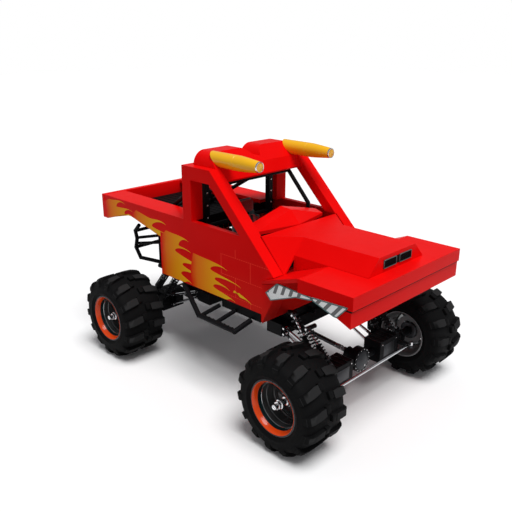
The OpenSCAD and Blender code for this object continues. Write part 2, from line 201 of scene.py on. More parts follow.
alongX, alongY, alongZ = (Vector(axis) for axis in ((1, 0, 0), (0, 1, 0), (0, 0, 1)))
toFront, toRear = -math.pi / 2, math.pi / 2  # turns that bring +Y to +X or to -X


def placed(point, angle, axis="Z"):
    return Matrix.Translation(point) @ Matrix.Rotation(angle, 4, axis)


def bothSides(piece):
    return joined([piece, copied(piece, mirrorY)])


def withRear(piece):
    return joined([piece, copied(piece, mirrorEnds)])


def fourCorners(piece):
    return bothSides(withRear(piece))


class Finish:
    # one material with its shader, and short ways to add and join nodes
    def __init__(self, name, color, roughness, metallic=0.0, **sockets):
        self.material = bpy.data.materials.new(name)
        self.material.use_nodes = True
        self.tree = self.material.node_tree
        self.shader = self.tree.nodes["Principled BSDF"]
        self.put(self.shader, "Base Color", (*color, 1))
        self.put(self.shader, "Roughness", roughness)
        self.put(self.shader, "Metallic", metallic)
        for key, value in sockets.items():
            self.put(self.shader, key.replace("_", " "), value)
        self.place = self.add("ShaderNodeTexCoord").outputs["Object"]

    def put(self, node, socket, value):
        if isinstance(value, bpy.types.NodeSocket):
            self.tree.links.new(value, node.inputs[socket])
        else:
            node.inputs[socket].default_value = value

    def add(self, kind, settings=None, **sockets):
        node = self.tree.nodes.new(kind)
        for key, value in (settings or {}).items():
            setattr(node, key, value)
        for key, value in sockets.items():
            self.put(node, key.replace("_", " "), value)
        return node

    def noise(self, scale, detail=3.0, roughness=0.5, vector=None):
        node = self.add("ShaderNodeTexNoise", Scale=scale, Detail=detail, Roughness=roughness)
        self.put(node, "Vector", vector or self.place)
        return node.outputs["Fac"]

    def ramp(self, factor, stops, mode="LINEAR"):
        node = self.add("ShaderNodeValToRGB", Fac=factor)
        node.color_ramp.interpolation = mode
        while len(node.color_ramp.elements) < len(stops):
            node.color_ramp.elements.new(0.5)
        for element, (position, color) in zip(node.color_ramp.elements, stops):
            element.position = position
            element.color = (*color, 1)
        return node.outputs["Color"]

    def between(self, factor, low, high):
        node = self.add("ShaderNodeMapRange", Value=factor, To_Min=low, To_Max=high)
        return node.outputs["Result"]

    def maths(self, operation, first, second=0.0):
        node = self.tree.nodes.new("ShaderNodeMath")
        node.operation = operation
        self.put(node, 0, first)
        self.put(node, 1, second)
        return node.outputs[0]

    def mixed(self, factor, first, second, blend="MIX"):
        node = self.tree.nodes.new("ShaderNodeMix")
        node.data_type = "RGBA"
        node.blend_type = blend
        for socket, value in ((0, factor), (6, first), (7, second)):
            self.put(node, socket, (*value, 1) if isinstance(value, tuple) and len(value) == 3 else value)
        return node.outputs[2]

    def bump(self, height, strength=0.1, distance=0.002):
        node = self.add("ShaderNodeBump", Height=height, Strength=strength, Distance=distance)
        self.put(self.shader, "Normal", node.outputs["Normal"])

    def separated(self):
        node = self.add("ShaderNodeSeparateXYZ", Vector=self.place)
        return node.outputs["X"], node.outputs["Y"], node.outputs["Z"]


paintShop = {
    "red": (0.90, 0.004, 0.004),
    "redDark": (0.76, 0.002, 0.002),
    "seam": (1.0, 0.05, 0.03),
    "dust": (0.55, 0.28, 0.16),
    "orange": (0.95, 0.20, 0.012),
    "amber": (1.0, 0.42, 0.01),
    "yellow": (1.0, 0.60, 0.02),
}
panelSeams = {
    "length": 0.62,
    "height": 0.31,
    "line": 0.006,
    "ahead": 0.30,
    "below": 2.30,
    "outside": 1.0672,
    "dashes": 22.0,
}


def redPaint(name, seams=False):
    f = Finish(name, paintShop["red"], 0.45, Specular_IOR_Level=0.05, Specular_Tint=(1.0, 0.06, 0.05, 1))
    tone = f.mixed(f.between(f.noise(1.3, 2), 0.0, 1.0), paintShop["redDark"], paintShop["red"])
    x, y, z = f.separated()
    low = f.add("ShaderNodeMapRange", Value=z, From_Min=2.0, From_Max=1.4, To_Min=0.0, To_Max=0.10)
    speckle = f.maths("MULTIPLY", low.outputs["Result"], f.between(f.noise(38, 5, 0.7), 0.0, 1.0))
    tone = f.mixed(speckle, tone, paintShop["dust"])
    if seams:
        # thin light lines where the side panels meet, only ahead of the door
        flat = f.add("ShaderNodeCombineXYZ", X=x, Y=z)
        bricks = f.add("ShaderNodeTexBrick", {"offset": 0.5, "offset_frequency": 2}, Scale=1.0,
                       Mortar_Size=panelSeams["line"], Mortar_Smooth=0.0, Brick_Width=panelSeams["length"],
                       Row_Height=panelSeams["height"], Vector=flat.outputs["Vector"])
        ahead = f.maths("GREATER_THAN", x, panelSeams["ahead"])
        below = f.maths("LESS_THAN", z, panelSeams["below"])
        repeat = f.maths("FRACT", f.maths("MULTIPLY", x, panelSeams["dashes"]))
        dashes = f.maths("GREATER_THAN", repeat, 0.35)
        outside = f.maths("GREATER_THAN", f.maths("ABSOLUTE", y), panelSeams["outside"])
        line = f.maths("MULTIPLY", bricks.outputs["Fac"], f.maths("MULTIPLY", ahead, below))
        line = f.maths("MULTIPLY", line, outside)
        line = f.maths("MULTIPLY", line, f.between(dashes, 0.15, 1.0))
        tone = f.mixed(line, tone, paintShop["seam"])
    f.put(f.shader, "Base Color", tone)
    f.put(f.shader, "Roughness", f.between(f.noise(9, 4), 0.27, 0.40))
    f.bump(f.noise(260, 2), 0.035, 0.001)
    return f.material


def flamePaint(name, rootX, tipX):
    f = Finish(name, paintShop["orange"], 0.45, Specular_IOR_Level=0.05, Specular_Tint=(1.0, 0.5, 0.05, 1))
    x = f.separated()[0]
    along = f.add("ShaderNodeMapRange", Value=x, From_Min=rootX, From_Max=tipX)
    drift = f.maths("ADD", along.outputs["Result"], f.between(f.noise(3, 2), -0.06, 0.06))
    tone = f.ramp(drift, [(0.0, paintShop["red"]), (0.16, paintShop["orange"]), (0.55, paintShop["amber"]),
                          (0.85, paintShop["yellow"])])
    f.put(f.shader, "Base Color", tone)
    f.put(f.shader, "Roughness", f.between(f.noise(12, 4), 0.26, 0.38))
    f.bump(f.noise(260, 2), 0.035, 0.001)
    return f.material


def coatedSteel(name, color, roughness=0.42, grain=420):
    # powder coat: fine pebbling, slightly uneven sheen, dust in the hollows
    f = Finish(name, color, roughness, Specular_IOR_Level=0.07)
    pale = tuple(min(1, c * 1.5 + 0.004) for c in color)
    f.put(f.shader, "Base Color", f.mixed(f.between(f.noise(5, 6, 0.65), 0.0, 0.55), color, pale))
    f.put(f.shader, "Roughness", f.between(f.noise(14, 4), roughness - 0.08, roughness + 0.14))
    f.bump(f.noise(grain, 3), 0.12, 0.0012)
    return f.material


def bareMetal(name, color, roughness, scratch=90, metallic=1.0):
    f = Finish(name, color, roughness, metallic)
    dull = tuple(c * 0.72 for c in color)
    f.put(f.shader, "Base Color", f.mixed(f.between(f.noise(7, 5, 0.6), 0.0, 0.7), color, dull))
    stretch = f.add("ShaderNodeMapping", Vector=f.place, Scale=(1, 1, 9))
    lines = f.noise(scratch, 4, 0.6, stretch.outputs["Vector"])
    f.put(f.shader, "Roughness", f.between(lines, roughness * 0.7, roughness * 1.6 + 0.02))
    f.bump(lines, 0.05, 0.0006)
    return f.material


def rubber(name, color, roughness, dusty=0.3):
    f = Finish(name, color, roughness, Specular_IOR_Level=0.06)
    dusted = tuple(c * 1.3 + 0.001 for c in color)
    f.put(f.shader, "Base Color", f.mixed(f.between(f.noise(6, 7, 0.7), 0.0, dusty), color, dusted))
    f.put(f.shader, "Roughness", f.between(f.noise(24, 4), roughness - 0.1, roughness + 0.1))
    grit = f.add("ShaderNodeTexVoronoi", Scale=240, Vector=f.place)
    f.bump(f.mixed(0.5, grit.outputs["Distance"], f.noise(90, 5, 0.7)), 0.25, 0.002)
    return f.material


def glossPlastic(name, color, roughness=0.2, **sockets):
    f = Finish(name, color, roughness, Coat_Weight=0.12, Coat_Roughness=0.08, Specular_IOR_Level=0.25,
               **sockets)
    deep = tuple(c * 0.86 for c in color)
    f.put(f.shader, "Base Color", f.mixed(f.between(f.noise(3, 3), 0.0, 0.8), color, deep))
    f.put(f.shader, "Roughness", f.between(f.noise(30, 3), roughness * 0.8, roughness * 1.4))
    f.bump(f.noise(180, 2), 0.03, 0.0008)
    return f.material


def woven(name, color, threads=520, roughness=0.85):
    # basket weave from two crossed waves
    f = Finish(name, color, roughness, Sheen_Weight=0.25, Specular_IOR_Level=0.2)
    waves = []
    for axis in ("X", "Y", "Z"):
        wave = f.add("ShaderNodeTexWave", {"wave_type": "BANDS", "bands_direction": axis}, Scale=threads / 6,
                     Distortion=0.4, Detail=1.0, Vector=f.place)
        waves.append(wave.outputs["Fac"])
    weave = f.maths("MULTIPLY", f.maths("MAXIMUM", waves[0], waves[1]), f.between(waves[2], 0.6, 1.0))
    shade = tuple(c * 0.45 for c in color)
    f.put(f.shader, "Base Color", f.mixed(weave, shade, color))
    f.bump(weave, 0.3, 0.0015)
    return f.material


bodyRed = redPaint("body_red")
seamedRed = redPaint("body_red_seamed", seams=True)
frameBlack = coatedSteel("frame_black", (0.0045, 0.0045, 0.0055), 0.46)
# near-black pebbled finish for the bed floor, cab floor, dash and their ribs
pebbledBlack = coatedSteel("pebbled_black", (0.0035, 0.0035, 0.004), 0.62, grain=150)
darkSteel = bareMetal("dark_steel", (0.055, 0.057, 0.062), 0.36, metallic=0.85)
castGrey = bareMetal("cast_grey", (0.20, 0.205, 0.21), 0.46, scratch=40, metallic=0.8)
chrome = bareMetal("chrome", (0.74, 0.75, 0.77), 0.10)
polished = bareMetal("polished_trim", (0.90, 0.91, 0.92), 0.25, metallic=0.25)
trimGrey = bareMetal("trim_grey", (0.085, 0.165, 0.165), 0.35, metallic=0.4)
stripeGrey = bareMetal("stripe_grey", (0.13, 0.13, 0.135), 0.35, metallic=0.4)
springBlack = coatedSteel("spring_black", (0.018, 0.018, 0.02), 0.24, grain=500)
sideRubber = rubber("tyre_side", (0.0050, 0.0050, 0.0053), 0.7)
treadRubber = rubber("tyre_tread", (0.020, 0.020, 0.0205), 0.75, dusty=0.45)
rimOrange = glossPlastic("rim_orange", (1.0, 0.085, 0.008), 0.16)
barrelDark = bareMetal("barrel_dark", (0.115, 0.125, 0.128), 0.30, metallic=0.55)
barrelTeal = bareMetal("barrel_teal", (0.010, 0.040, 0.044), 0.26, metallic=0.5)
shockBlack = coatedSteel("shock_black", (0.012, 0.012, 0.013), 0.22, grain=500)
barrelGrey = bareMetal("barrel_grey", (0.24, 0.24, 0.245), 0.36, metallic=0.55)
lampYellow = glossPlastic("lamp_yellow", (1.0, 0.52, 0.012), 0.20)
seatRed = woven("seat_red", (0.42, 0.008, 0.010), threads=900, roughness=0.8)
seatShell = glossPlastic("seat_shell", (0.055, 0.115, 0.115), 0.28)
webbing = woven("belt_webbing", (0.025, 0.027, 0.03), threads=1500)
gripHide = woven("grip_hide", (0.014, 0.014, 0.015), threads=600, roughness=0.65)
lampGlass = glossPlastic("lamp_glass", (1.0, 0.66, 0.10), 0.08)
tailLens = glossPlastic("tail_lens", (0.42, 0.004, 0.006), 0.10)
mattBlack = coatedSteel("matt_black", (0.006, 0.006, 0.006), 0.7)
print("finishes mixed")

paintedNodes = (
    (bodyRed, "bed_sides tailgate roof rear_pillars windshield_pillars cowl hood fenders nose front_lip "
              "front_bulkhead roof_fairings"),
    (seamedRed, "cab_sides"),
    (frameBlack, "main_frame bed_frame cross_members shock_towers roll_cage side_steps rear_bumper "
                 "front_axle rear_axle"),
    (pebbledBlack, "floor_pan bed_floor dash"),
    (castGrey, "engine gearbox"),
    (darkSteel, "driveshafts knuckle_fr knuckle_fl knuckle_rr knuckle_rl"),
    (chrome, "suspension_links shocks tie_rod_front tie_rod_rear"),
    (springBlack, "springs"),
    (polished, "side_trims"),
    (lampYellow, "roof_lamps"),
    (mattBlack, "intake_grille driver_seat steering_wheel"),
    (sideRubber, "tyre_fr tyre_fl tyre_rr tyre_rl"),
    (rimOrange, "rim_fr rim_fl rim_rr rim_rl"),
)
for finish, names in paintedNodes:
    for name in names.split():
        coloured(cad[name], finish)
print("frame painted")


studio = {
    "cameraAt": (6.885, -6.921, 5.235),
    "tilt": 70.54,
    "heading": 44.93,
    "lens": 44.02,
    "floorSize": 160,
    "floorSeen": 0.99,
    "skyColor": (0.30, 0.30, 0.31),
    "sunStrength": 2.62,
    "sunTilt": (0.0, 20.0, -12.0),
    "sunAngle": 34.0,
    "floorGrey": 0.42,
}

deselect()
aim = (math.radians(studio["tilt"]), 0, math.radians(studio["heading"]))
bpy.ops.object.camera_add(location=studio["cameraAt"], rotation=aim)
camera = bpy.context.object
camera.data.lens = studio["lens"]
camera.data.sensor_width = 36
bpy.context.scene.camera = camera

bpy.ops.mesh.primitive_plane_add(size=studio["floorSize"], location=(0, 0, 0))
floor = bpy.context.object
floor.name = "floor"
floorPaint = bpy.data.materials.new("floor_white")
floorPaint.use_nodes = True
tree = floorPaint.node_tree
seen = tree.nodes.new("ShaderNodeBsdfDiffuse")
seen.inputs["Color"].default_value = (*[studio["floorSeen"]] * 3, 1)
bounced = tree.nodes.new("ShaderNodeBsdfDiffuse")
bounced.inputs["Color"].default_value = (*[studio["floorGrey"]] * 3, 1)
path = tree.nodes.new("ShaderNodeLightPath")
direct = tree.nodes.new("ShaderNodeMath")
direct.operation = "MAXIMUM"
tree.links.new(path.outputs["Is Camera Ray"], direct.inputs[0])
tree.links.new(path.outputs["Is Glossy Ray"], direct.inputs[1])
either = tree.nodes.new("ShaderNodeMixShader")
tree.links.new(direct.outputs[0], either.inputs[0])
tree.links.new(bounced.outputs[0], either.inputs[1])
tree.links.new(seen.outputs[0], either.inputs[2])
tree.links.new(either.outputs[0], tree.nodes["Material Output"].inputs["Surface"])
tree.nodes.remove(tree.nodes["Principled BSDF"])
floor.data.materials.append(floorPaint)

world = bpy.data.worlds.new("studio")
bpy.context.scene.world = world
world.use_nodes = True
sky = world.node_tree
ambient = sky.nodes["Background"]
ambient.inputs["Color"].default_value = (*studio["skyColor"], 1)
ambient.inputs["Strength"].default_value = 1.0
white = sky.nodes.new("ShaderNodeBackground")
white.inputs["Color"].default_value = (1, 1, 1, 1)
skyPath = sky.nodes.new("ShaderNodeLightPath")
skyMix = sky.nodes.new("ShaderNodeMixShader")
sky.links.new(skyPath.outputs["Is Camera Ray"], skyMix.inputs[0])
sky.links.new(ambient.outputs[0], skyMix.inputs[1])
sky.links.new(white.outputs[0], skyMix.inputs[2])
sky.links.new(skyMix.outputs[0], sky.nodes["World Output"].inputs["Surface"])

deselect()
sunTurn = [math.radians(angle) for angle in studio["sunTilt"]]
bpy.ops.object.light_add(type="SUN", location=(0, 0, 9), rotation=sunTurn)
sun = bpy.context.object
sun.data.energy = studio["sunStrength"]
sun.data.angle = math.radians(studio["sunAngle"])
bpy.context.scene.view_settings.view_transform = "Standard"
print("studio set")


tyre = {
    "beadRadius": 0.376,
    "bead": 0.343,
    "halfWidth": 0.391,
    "carcass": 0.648,
    "top": 0.6984,
    "lugs": 14,
    "lugWidth": 0.104,
    "slant": 0.20,
    "steps": 96,
}


def carcass():
    bead, half, crown = tyre["bead"], tyre["halfWidth"], tyre["carcass"]
    outer = [(tyre["beadRadius"], bead), (0.398, bead + 0.003), (0.404, bead + 0.022), (0.420, half - 0.016),
             (0.440, half - 0.006), (0.446, half - 0.001), (0.458, half - 0.001), (0.464, half - 0.005),
             (0.520, half - 0.004), (0.555, half - 0.012), (0.585, half - 0.026), (0.610, half - 0.052),
             (0.630, half - 0.090), (crown - 0.006, half - 0.145), (crown, half - 0.210),
             (crown + 0.006, 0.08)]
    inner = [(crown - 0.030, 0.0), (crown - 0.034, 0.22), (0.590, half - 0.055), (0.470, half - 0.045),
             (0.400, bead - 0.030)]
    halfProfile = outer + [(r, -y) for r, y in reversed(outer)]
    lining = [(r, -y) for r, y in reversed(inner[1:])] + inner
    return coloured(turned(halfProfile + lining, tyre["steps"]), sideRubber)


def lug():
    # one bar: a short block drawn out over the shoulder, its inner end leading
    half = tyre["lugWidth"] / 2
    bar = block((-half, 0.010, 0.625), (half, 0.09, tyre["top"]))
    reach = [(0.09, 0.0), (0.08, -0.004), (0.055, -0.014), (0.040, -0.028), (0.030, -0.048)]
    for forward, drop in reach:
        for face in bar.data.polygons:
            face.select = False
        outermost = max(bar.data.polygons, key=lambda face: face.center.y)
        outermost.select = True
        bpy.ops.object.mode_set(mode="EDIT")
        bpy.ops.mesh.select_mode(type="FACE")
        bpy.ops.mesh.extrude_region_move(
            TRANSFORM_OT_translate={"value": (-forward * tyre["slant"], forward, drop)})
        bpy.ops.object.mode_set(mode="OBJECT")
    return rounded(bar, 0.007, 2, 30)


def paintTops(bar):
    # the outward-facing lug tops take the paler rubber
    bar.data.materials.clear()
    bar.data.materials.append(sideRubber)
    bar.data.materials.append(treadRubber)
    for face in bar.data.polygons:
        face.material_index = 1 if face.normal.z > 0.45 and face.center.z > 0.58 else 0
    return bar


outerLug = paintTops(lug())
innerLug = copied(outerLug, Matrix.Rotation(math.pi / tyre["lugs"], 4, "Y") @ mirrorY)
outerRow = ringOf(outerLug, tyre["lugs"])
innerRow = ringOf(innerLug, tyre["lugs"])
wheelTyre = joined([carcass(), outerRow, innerRow])
print("tyre built:", len(wheelTyre.data.polygons), "faces")


rim = {
    "steps": 72,
    "windows": 8,
    "windowShare": 0.66,
    "ringBolts": 24,
    "nuts": 10,
    "nutCircle": 0.112,
    "stubEnd": 0.330,
    "vanes": 28,
    "clock": {"fr": 0, "fl": 50, "rr": 128, "rl": 203},  # how far round each wheel stands, in degrees
}


def orangeRing():
    ring = turned([(0.371, 0.346), (0.3745, 0.349), (0.3745, 0.3635), (0.371, 0.366), (0.366, 0.362),
                   (0.352, 0.330), (0.338, 0.300), (0.334, 0.290), (0.340, 0.287), (0.356, 0.322)],
                  rim["steps"])
    return coloured(ring, rimOrange)


def beadLock():
    ring = turned([(0.375, 0.349), (0.396, 0.349), (0.399, 0.353), (0.396, 0.360), (0.378, 0.3635),
                   (0.375, 0.362)], rim["steps"])
    bolt = rod((0, 0.3600, 0.3875), (0, 0.3665, 0.3875), 0.0065, 6, 0.001)
    return coloured(joined([ring, ringOf(bolt, rim["ringBolts"])]), darkSteel)


def barrel():
    lip = turned([(0.340, 0.2885), (0.333, 0.290), (0.326, 0.262), (0.322, 0.236), (0.330, 0.234)],
                 rim["steps"])
    edge = turned([(0.330, 0.2345), (0.3195, 0.2355), (0.3175, 0.2325), (0.3195, 0.2295), (0.330, 0.2305)],
                  rim["steps"])
    outer = turned([(0.330, 0.230), (0.318, 0.231), (0.314, 0.205), (0.311, 0.150), (0.304, 0.142),
                    (0.302, 0.020), (0.290, 0.004), (0.296, -0.012), (0.308, 0.018), (0.316, 0.130)],
                   rim["steps"])
    inner = turned([(0.300, -0.012), (0.296, -0.030), (0.296, -0.110), (0.303, -0.118), (0.303, -0.190),
                    (0.316, -0.206), (0.345, -0.238), (0.350, -0.246), (0.350, -0.318), (0.358, -0.330),
                    (0.360, -0.352), (0.374, -0.354), (0.382, -0.350), (0.374, -0.344), (0.372, -0.256),
                    (0.324, -0.214), (0.310, -0.196), (0.306, -0.020)], rim["steps"])
    return dressed(((lip, barrelTeal), (edge, chrome), (outer, barrelDark), (inner, barrelGrey)))


def webDisc():
    # a plate with windows cut round the hub
    deselect()
    count = rim["windows"] * 6
    bpy.ops.mesh.primitive_circle_add(vertices=count, radius=0.298, fill_type="NOTHING",
                                      rotation=(math.radians(90), 0, 0))
    plate = settle(bpy.context.object)
    bpy.ops.object.mode_set(mode="EDIT")
    for radius, outward in ((0.272, 0.0), (0.235, 0.010), (0.195, 0.026), (0.160, 0.034), (0.120, 0.034)):
        bpy.ops.mesh.select_all(action="DESELECT")
        bpy.ops.object.mode_set(mode="OBJECT")
        innermost = min(v.co.length for v in plate.data.vertices)
        lastRing = [v for v in plate.data.vertices
                    if math.hypot(v.co.x, v.co.z) < innermost * 1.004 + 0.0001]
        level = lastRing[0].co.y
        now = math.hypot(lastRing[0].co.x, lastRing[0].co.z)
        for vertex in plate.data.vertices:
            vertex.select = abs(math.hypot(vertex.co.x, vertex.co.z) - now) < 0.001
        for edge in plate.data.edges:
            edge.select = all(plate.data.vertices[i].select for i in edge.vertices)
        bpy.ops.object.mode_set(mode="EDIT")
        bpy.ops.mesh.select_mode(type="EDGE")
        bpy.ops.mesh.extrude_edges_move(TRANSFORM_OT_translate={"value": (0, outward - level, 0)})
        share = radius / now
        bpy.ops.transform.resize(value=(share, 1, share), center_override=(0, 0, 0))
    bpy.ops.object.mode_set(mode="OBJECT")
    wedge = math.tau / rim["windows"]
    for face in plate.data.polygons:
        turn = (math.atan2(face.center.z, face.center.x) % wedge) / wedge
        reach = math.hypot(face.center.x, face.center.z)
        face.select = 0.17 < turn < 0.17 + rim["windowShare"] and 0.165 < reach < 0.27
    bpy.ops.object.mode_set(mode="EDIT")
    bpy.ops.mesh.select_mode(type="FACE")
    bpy.ops.mesh.delete(type="FACE")
    sealed(plate)
    applyModifier(plate, "SOLIDIFY", thickness=0.018, offset=0)
    rounded(plate, 0.003, 2)
    plate.data.transform(Matrix.Translation((0, -0.035, 0)))
    return coloured(plate, barrelDark)


def hub():
    drum = turned([(0.0, -0.062), (0.074, -0.062), (0.074, -0.150), (0.128, -0.150), (0.140, -0.142),
                   (0.143, -0.050), (0.150, -0.044), (0.150, 0.004), (0.143, 0.010), (0.138, 0.016),
                   (0.092, 0.018), (0.086, 0.028), (0.084, 0.060), (0.078, 0.068), (0.058, 0.072),
                   (0.050, 0.080), (0.050, 0.112), (0.0, 0.112)], 48, closed=False)
    nut = rod((0, 0.014, rim["nutCircle"]), (0, 0.034, rim["nutCircle"]), 0.0125, 6, 0.002)
    stud = rod((0, 0.030, rim["nutCircle"]), (0, 0.047, rim["nutCircle"]), 0.0058, 10, 0.001)
    nuts = ringOf(joined([nut, stud]), rim["nuts"])
    end = rim["stubEnd"]
    shaft = turned([(0.0, 0.100), (0.040, 0.100), (0.040, 0.176), (0.033, 0.186), (0.033, end - 0.030),
                    (0.037, end - 0.026), (0.037, end - 0.004), (0.033, end), (0.014, end),
                    (0.010, end - 0.008),
                    (0.0, end - 0.008)], 28, closed=False)
    bigNut = rod((0, 0.232, 0), (0, 0.266, 0), 0.058, 6, 0.004)
    flange = turned([(0.0, 0.216), (0.062, 0.216), (0.066, 0.221), (0.066, 0.228), (0.050, 0.236),
                     (0.0, 0.236)], 36, closed=False)
    collar = rod((0, 0.104, 0), (0, 0.120, 0), 0.062, 36, 0.003)
    ears = ringOf(block((0.030, 0.272, -0.009), (0.052, 0.292, 0.009), 0.004), 3)
    bright = (nuts, shaft, bigNut, flange, collar, ears)
    return dressed([(drum, darkSteel)] + [(bit, chrome) for bit in bright])


def brakeDisc():
    disc = turned([(0.150, -0.094), (0.232, -0.094), (0.232, -0.102), (0.150, -0.102)], 64)
    vane = block((0.150, -0.108, -0.004), (0.226, -0.101, 0.004), 0.0015)
    vanes = ringOf(vane, rim["vanes"])
    back = turned([(0.150, -0.107), (0.232, -0.107), (0.232, -0.114), (0.150, -0.114)], 64)
    return dressed([(bit, barrelGrey) for bit in (disc, vanes, back)])


wheelRim = joined([orangeRing(), beadLock(), barrel(), webDisc(), hub(), brakeDisc()])
print("rim built:", len(wheelRim.data.polygons), "faces")

for corner in corners:
    side = 1 if corner[1] == "l" else -1
    centre = Vector((axleX[corner[0]], joints["roll_" + corner].y, wheelHeight))
    turn = Matrix.Rotation(0 if side > 0 else math.pi, 4, "Z")
    clock = Matrix.Rotation(math.radians(rim["clock"][corner]), 4, "Y")
    move = Matrix.Translation(centre) @ turn @ clock
    newTyre = fitted(copied(wheelTyre, move), "lugged_tyre_" + corner, "wheel_" + corner)
    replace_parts(newTyre, "tyre_" + corner)
    newRim = fitted(copied(wheelRim, move), "wheel_rim_" + corner, "wheel_" + corner)
    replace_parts(newRim, "rim_" + corner)
bpy.data.objects.remove(wheelTyre)
bpy.data.objects.remove(wheelRim)
print("wheels placed")


shockTable = [  # top and bottom pins at the front left
    ((1.484, 0.750, 1.450), (1.940, 0.750, 0.850)),
    ((1.800, 0.800, 1.350), (2.185, 0.765, 0.925)),
]
spring = {"radius": 0.0575, "wire": 0.0082, "turns": 9, "steps": 20, "from": 0.128, "to": 0.852}
shock = {
    "rod": 0.017,
    "body": 0.036,
    "eye": 0.038,
    "seat": 0.067,
    "seatsAt": (0.105, 0.868),
    "bandsAt": (0.46, 0.50, 0.80),
}


def coil(start, end):
    start, end = Vector(start), Vector(end)
    run = end - start
    deselect()
    bpy.ops.mesh.primitive_circle_add(vertices=10, radius=spring["wire"], fill_type="NGON",
                                      location=(spring["radius"], 0, 0), rotation=(math.radians(90), 0, 0))
    wire = settle(bpy.context.object)
    steps = spring["turns"] * spring["steps"]
    applyModifier(wire, "SCREW", angle=math.tau * spring["turns"], screw_offset=run.length,
                  steps=steps, render_steps=steps, use_merge_vertices=False)
    sealed(wire)
    wire.data.transform(Matrix.Translation(start) @ run.to_track_quat("Z", "Y").to_matrix().to_4x4())
    return wire


def shockBody(top, bottom):
    top, bottom = Vector(top), Vector(bottom)
    run = bottom - top
    along = run.normalized()
    parts = [
        (rod(top, top + run * 0.47, shock["rod"], 20), chrome),
        (rod(top + run * 0.44, bottom, shock["body"], 32, 0.004), shockBlack),
        (rod(top + run * 0.425, top + run * 0.445, 0.030, 24, 0.003), chrome),
    ]
    for point in (top, bottom):
        parts.append((rodAt(point, alongY, 0.028, 0.028, shock["eye"], 32, 0.005), darkSteel))
    for share in shock["seatsAt"]:
        parts.append((rodAt(top + run * share, along, 0.012, 0.012, shock["seat"], 32, 0.004), darkSteel))
    for share in shock["bandsAt"]:
        parts.append((rodAt(top + run * share, along, 0.006, 0.006, 0.0405, 32, 0.002), frameBlack))
    for point in (top, bottom):
        for side in (-1, 1):
            head = point + alongY * side * 0.029
            parts.append((rod(head, head + alongY * side * 0.010, 0.021, 6, 0.002), chrome))
    return dressed(parts)


coils = []
fittings = []
for top, bottom in shockTable:
    run = Vector(bottom) - Vector(top)
    coils.append(coil(Vector(top) + run * spring["from"], Vector(top) + run * spring["to"]))
    fittings.append(shockBody(top, bottom))
springSet = fitted(fourCorners(joined(coils)), "coil_springs", "chassis", springBlack, 60)
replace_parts(springSet, "springs")
shockSet = fitted(fourCorners(joined(fittings)), "shock_bodies", "chassis")
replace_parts(shockSet, "shocks")
print("springs wound")

# flames: each one runs [x, z, kind] round its edge; kinds are line, tip and dip
flameSide = {
    "y": 1.0685,
    "thickness": 0.0016,
    "layerGap": 0.0006,  # each group lies a little outside the one before, so that none flickers
    "flow": (0.93, -0.36),
    "tipReach": 0.17,
    "dipReach": 0.055,
}
flameTable = [
    ("tail_flames", -2.80, -1.75, [
        (-2.885, 2.10, "line"), (-2.885, 2.38, "line"), (-2.66, 2.47, "line"), (-2.16, 2.46, "tip"),
        (-2.44, 2.385, "dip"), (-1.92, 2.36, "tip"), (-2.20, 2.30, "dip"), (-1.70, 2.238, "tip"),
        (-2.077, 2.306, "line"), (-2.74, 2.110, "line"), (-2.76, 2.10, "line")]),
    ("arch_flames", -1.95, -0.92, [
        (-2.00, 2.288, "line"), (-1.84, 2.42, "line"), (-1.48, 2.36, "line"), (-1.02, 2.33, "tip"),
        (-1.40, 2.245, "dip"), (-0.88, 2.13, "tip"), (-1.174, 2.19, "line"), (-1.174, 2.105, "line")]),
    ("door_flames", -1.18, -0.22, [
        (-1.178, 1.459, "line"), (-1.178, 2.10, "line"), (-1.02, 2.24, "line"), (-0.44, 2.17, "tip"),
        (-0.70, 2.075, "dip"), (-0.40, 2.00, "tip"), (-0.80, 1.955, "dip"), (-0.06, 1.78, "tip"),
        (-0.62, 1.765, "dip"), (-0.22, 1.635, "tip"), (-0.66, 1.605, "dip"), (-0.38, 1.475, "tip"),
        (-0.60, 1.459, "line")]),
    ("sill_flames", -0.42, 0.62, [
        (-0.40, 1.459, "line"), (-0.42, 1.74, "line"), (-0.34, 2.02, "line"), (0.44, 1.93, "tip"),
        (0.06, 1.865, "dip"), (0.74, 1.735, "tip"), (0.16, 1.735, "dip"), (0.50, 1.620, "tip"),
        (0.12, 1.600, "dip"), (0.62, 1.470, "tip"), (0.40, 1.459, "line")]),
    ("loose_licks", 0.20, 0.70, [
        (0.58, 1.640, "dip"), (0.70, 1.645, "line"), (0.96, 1.545, "tip"), (0.72, 1.588, "line")]),
]


def flame(points, standOff):
    deselect()
    bpy.ops.curve.primitive_bezier_circle_add(radius=0.1)
    piece = bpy.context.object
    piece.data.dimensions = "2D"
    piece.data.fill_mode = "BOTH"
    piece.data.resolution_u = 10
    spline = piece.data.splines[0]
    spline.bezier_points.add(len(points) - 4)
    flow = Vector((*flameSide["flow"], 0)).normalized()
    across = Vector((-flow.y, flow.x, 0))
    for knot, (x, z, kind) in zip(spline.bezier_points, points):
        spot = Vector((x, z, 0))
        knot.handle_left_type = knot.handle_right_type = "VECTOR" if kind == "line" else "FREE"
        knot.co = spot
        if kind == "tip":
            reach = flameSide["tipReach"]
            knot.handle_left = spot - flow * reach + across * reach * 0.10
            knot.handle_right = spot - flow * reach * 0.9 + across * reach * 0.02
        if kind == "dip":
            reach = flameSide["dipReach"]
            knot.handle_left = spot + across * reach - flow * reach * 0.2
            knot.handle_right = spot - across * reach - flow * reach * 0.2
    piece.data.extrude = flameSide["thickness"] / 2
    only(piece)
    bpy.ops.object.convert(target="MESH")
    piece = bpy.context.object
    # stood up into the side of the body, X stays X and Y becomes Z
    piece.data.transform(placed((0, flameSide["y"] + standOff, 0), math.pi / 2, "X"))
    return sealed(piece, 0.0001)


for layer, (name, rootX, tipX, points) in enumerate(flameTable):
    piece = bothSides(flame(points, layer * flameSide["layerGap"]))
    fitted(piece, name, "chassis", flamePaint(name, rootX, tipX), 20)
print("flames laid on")


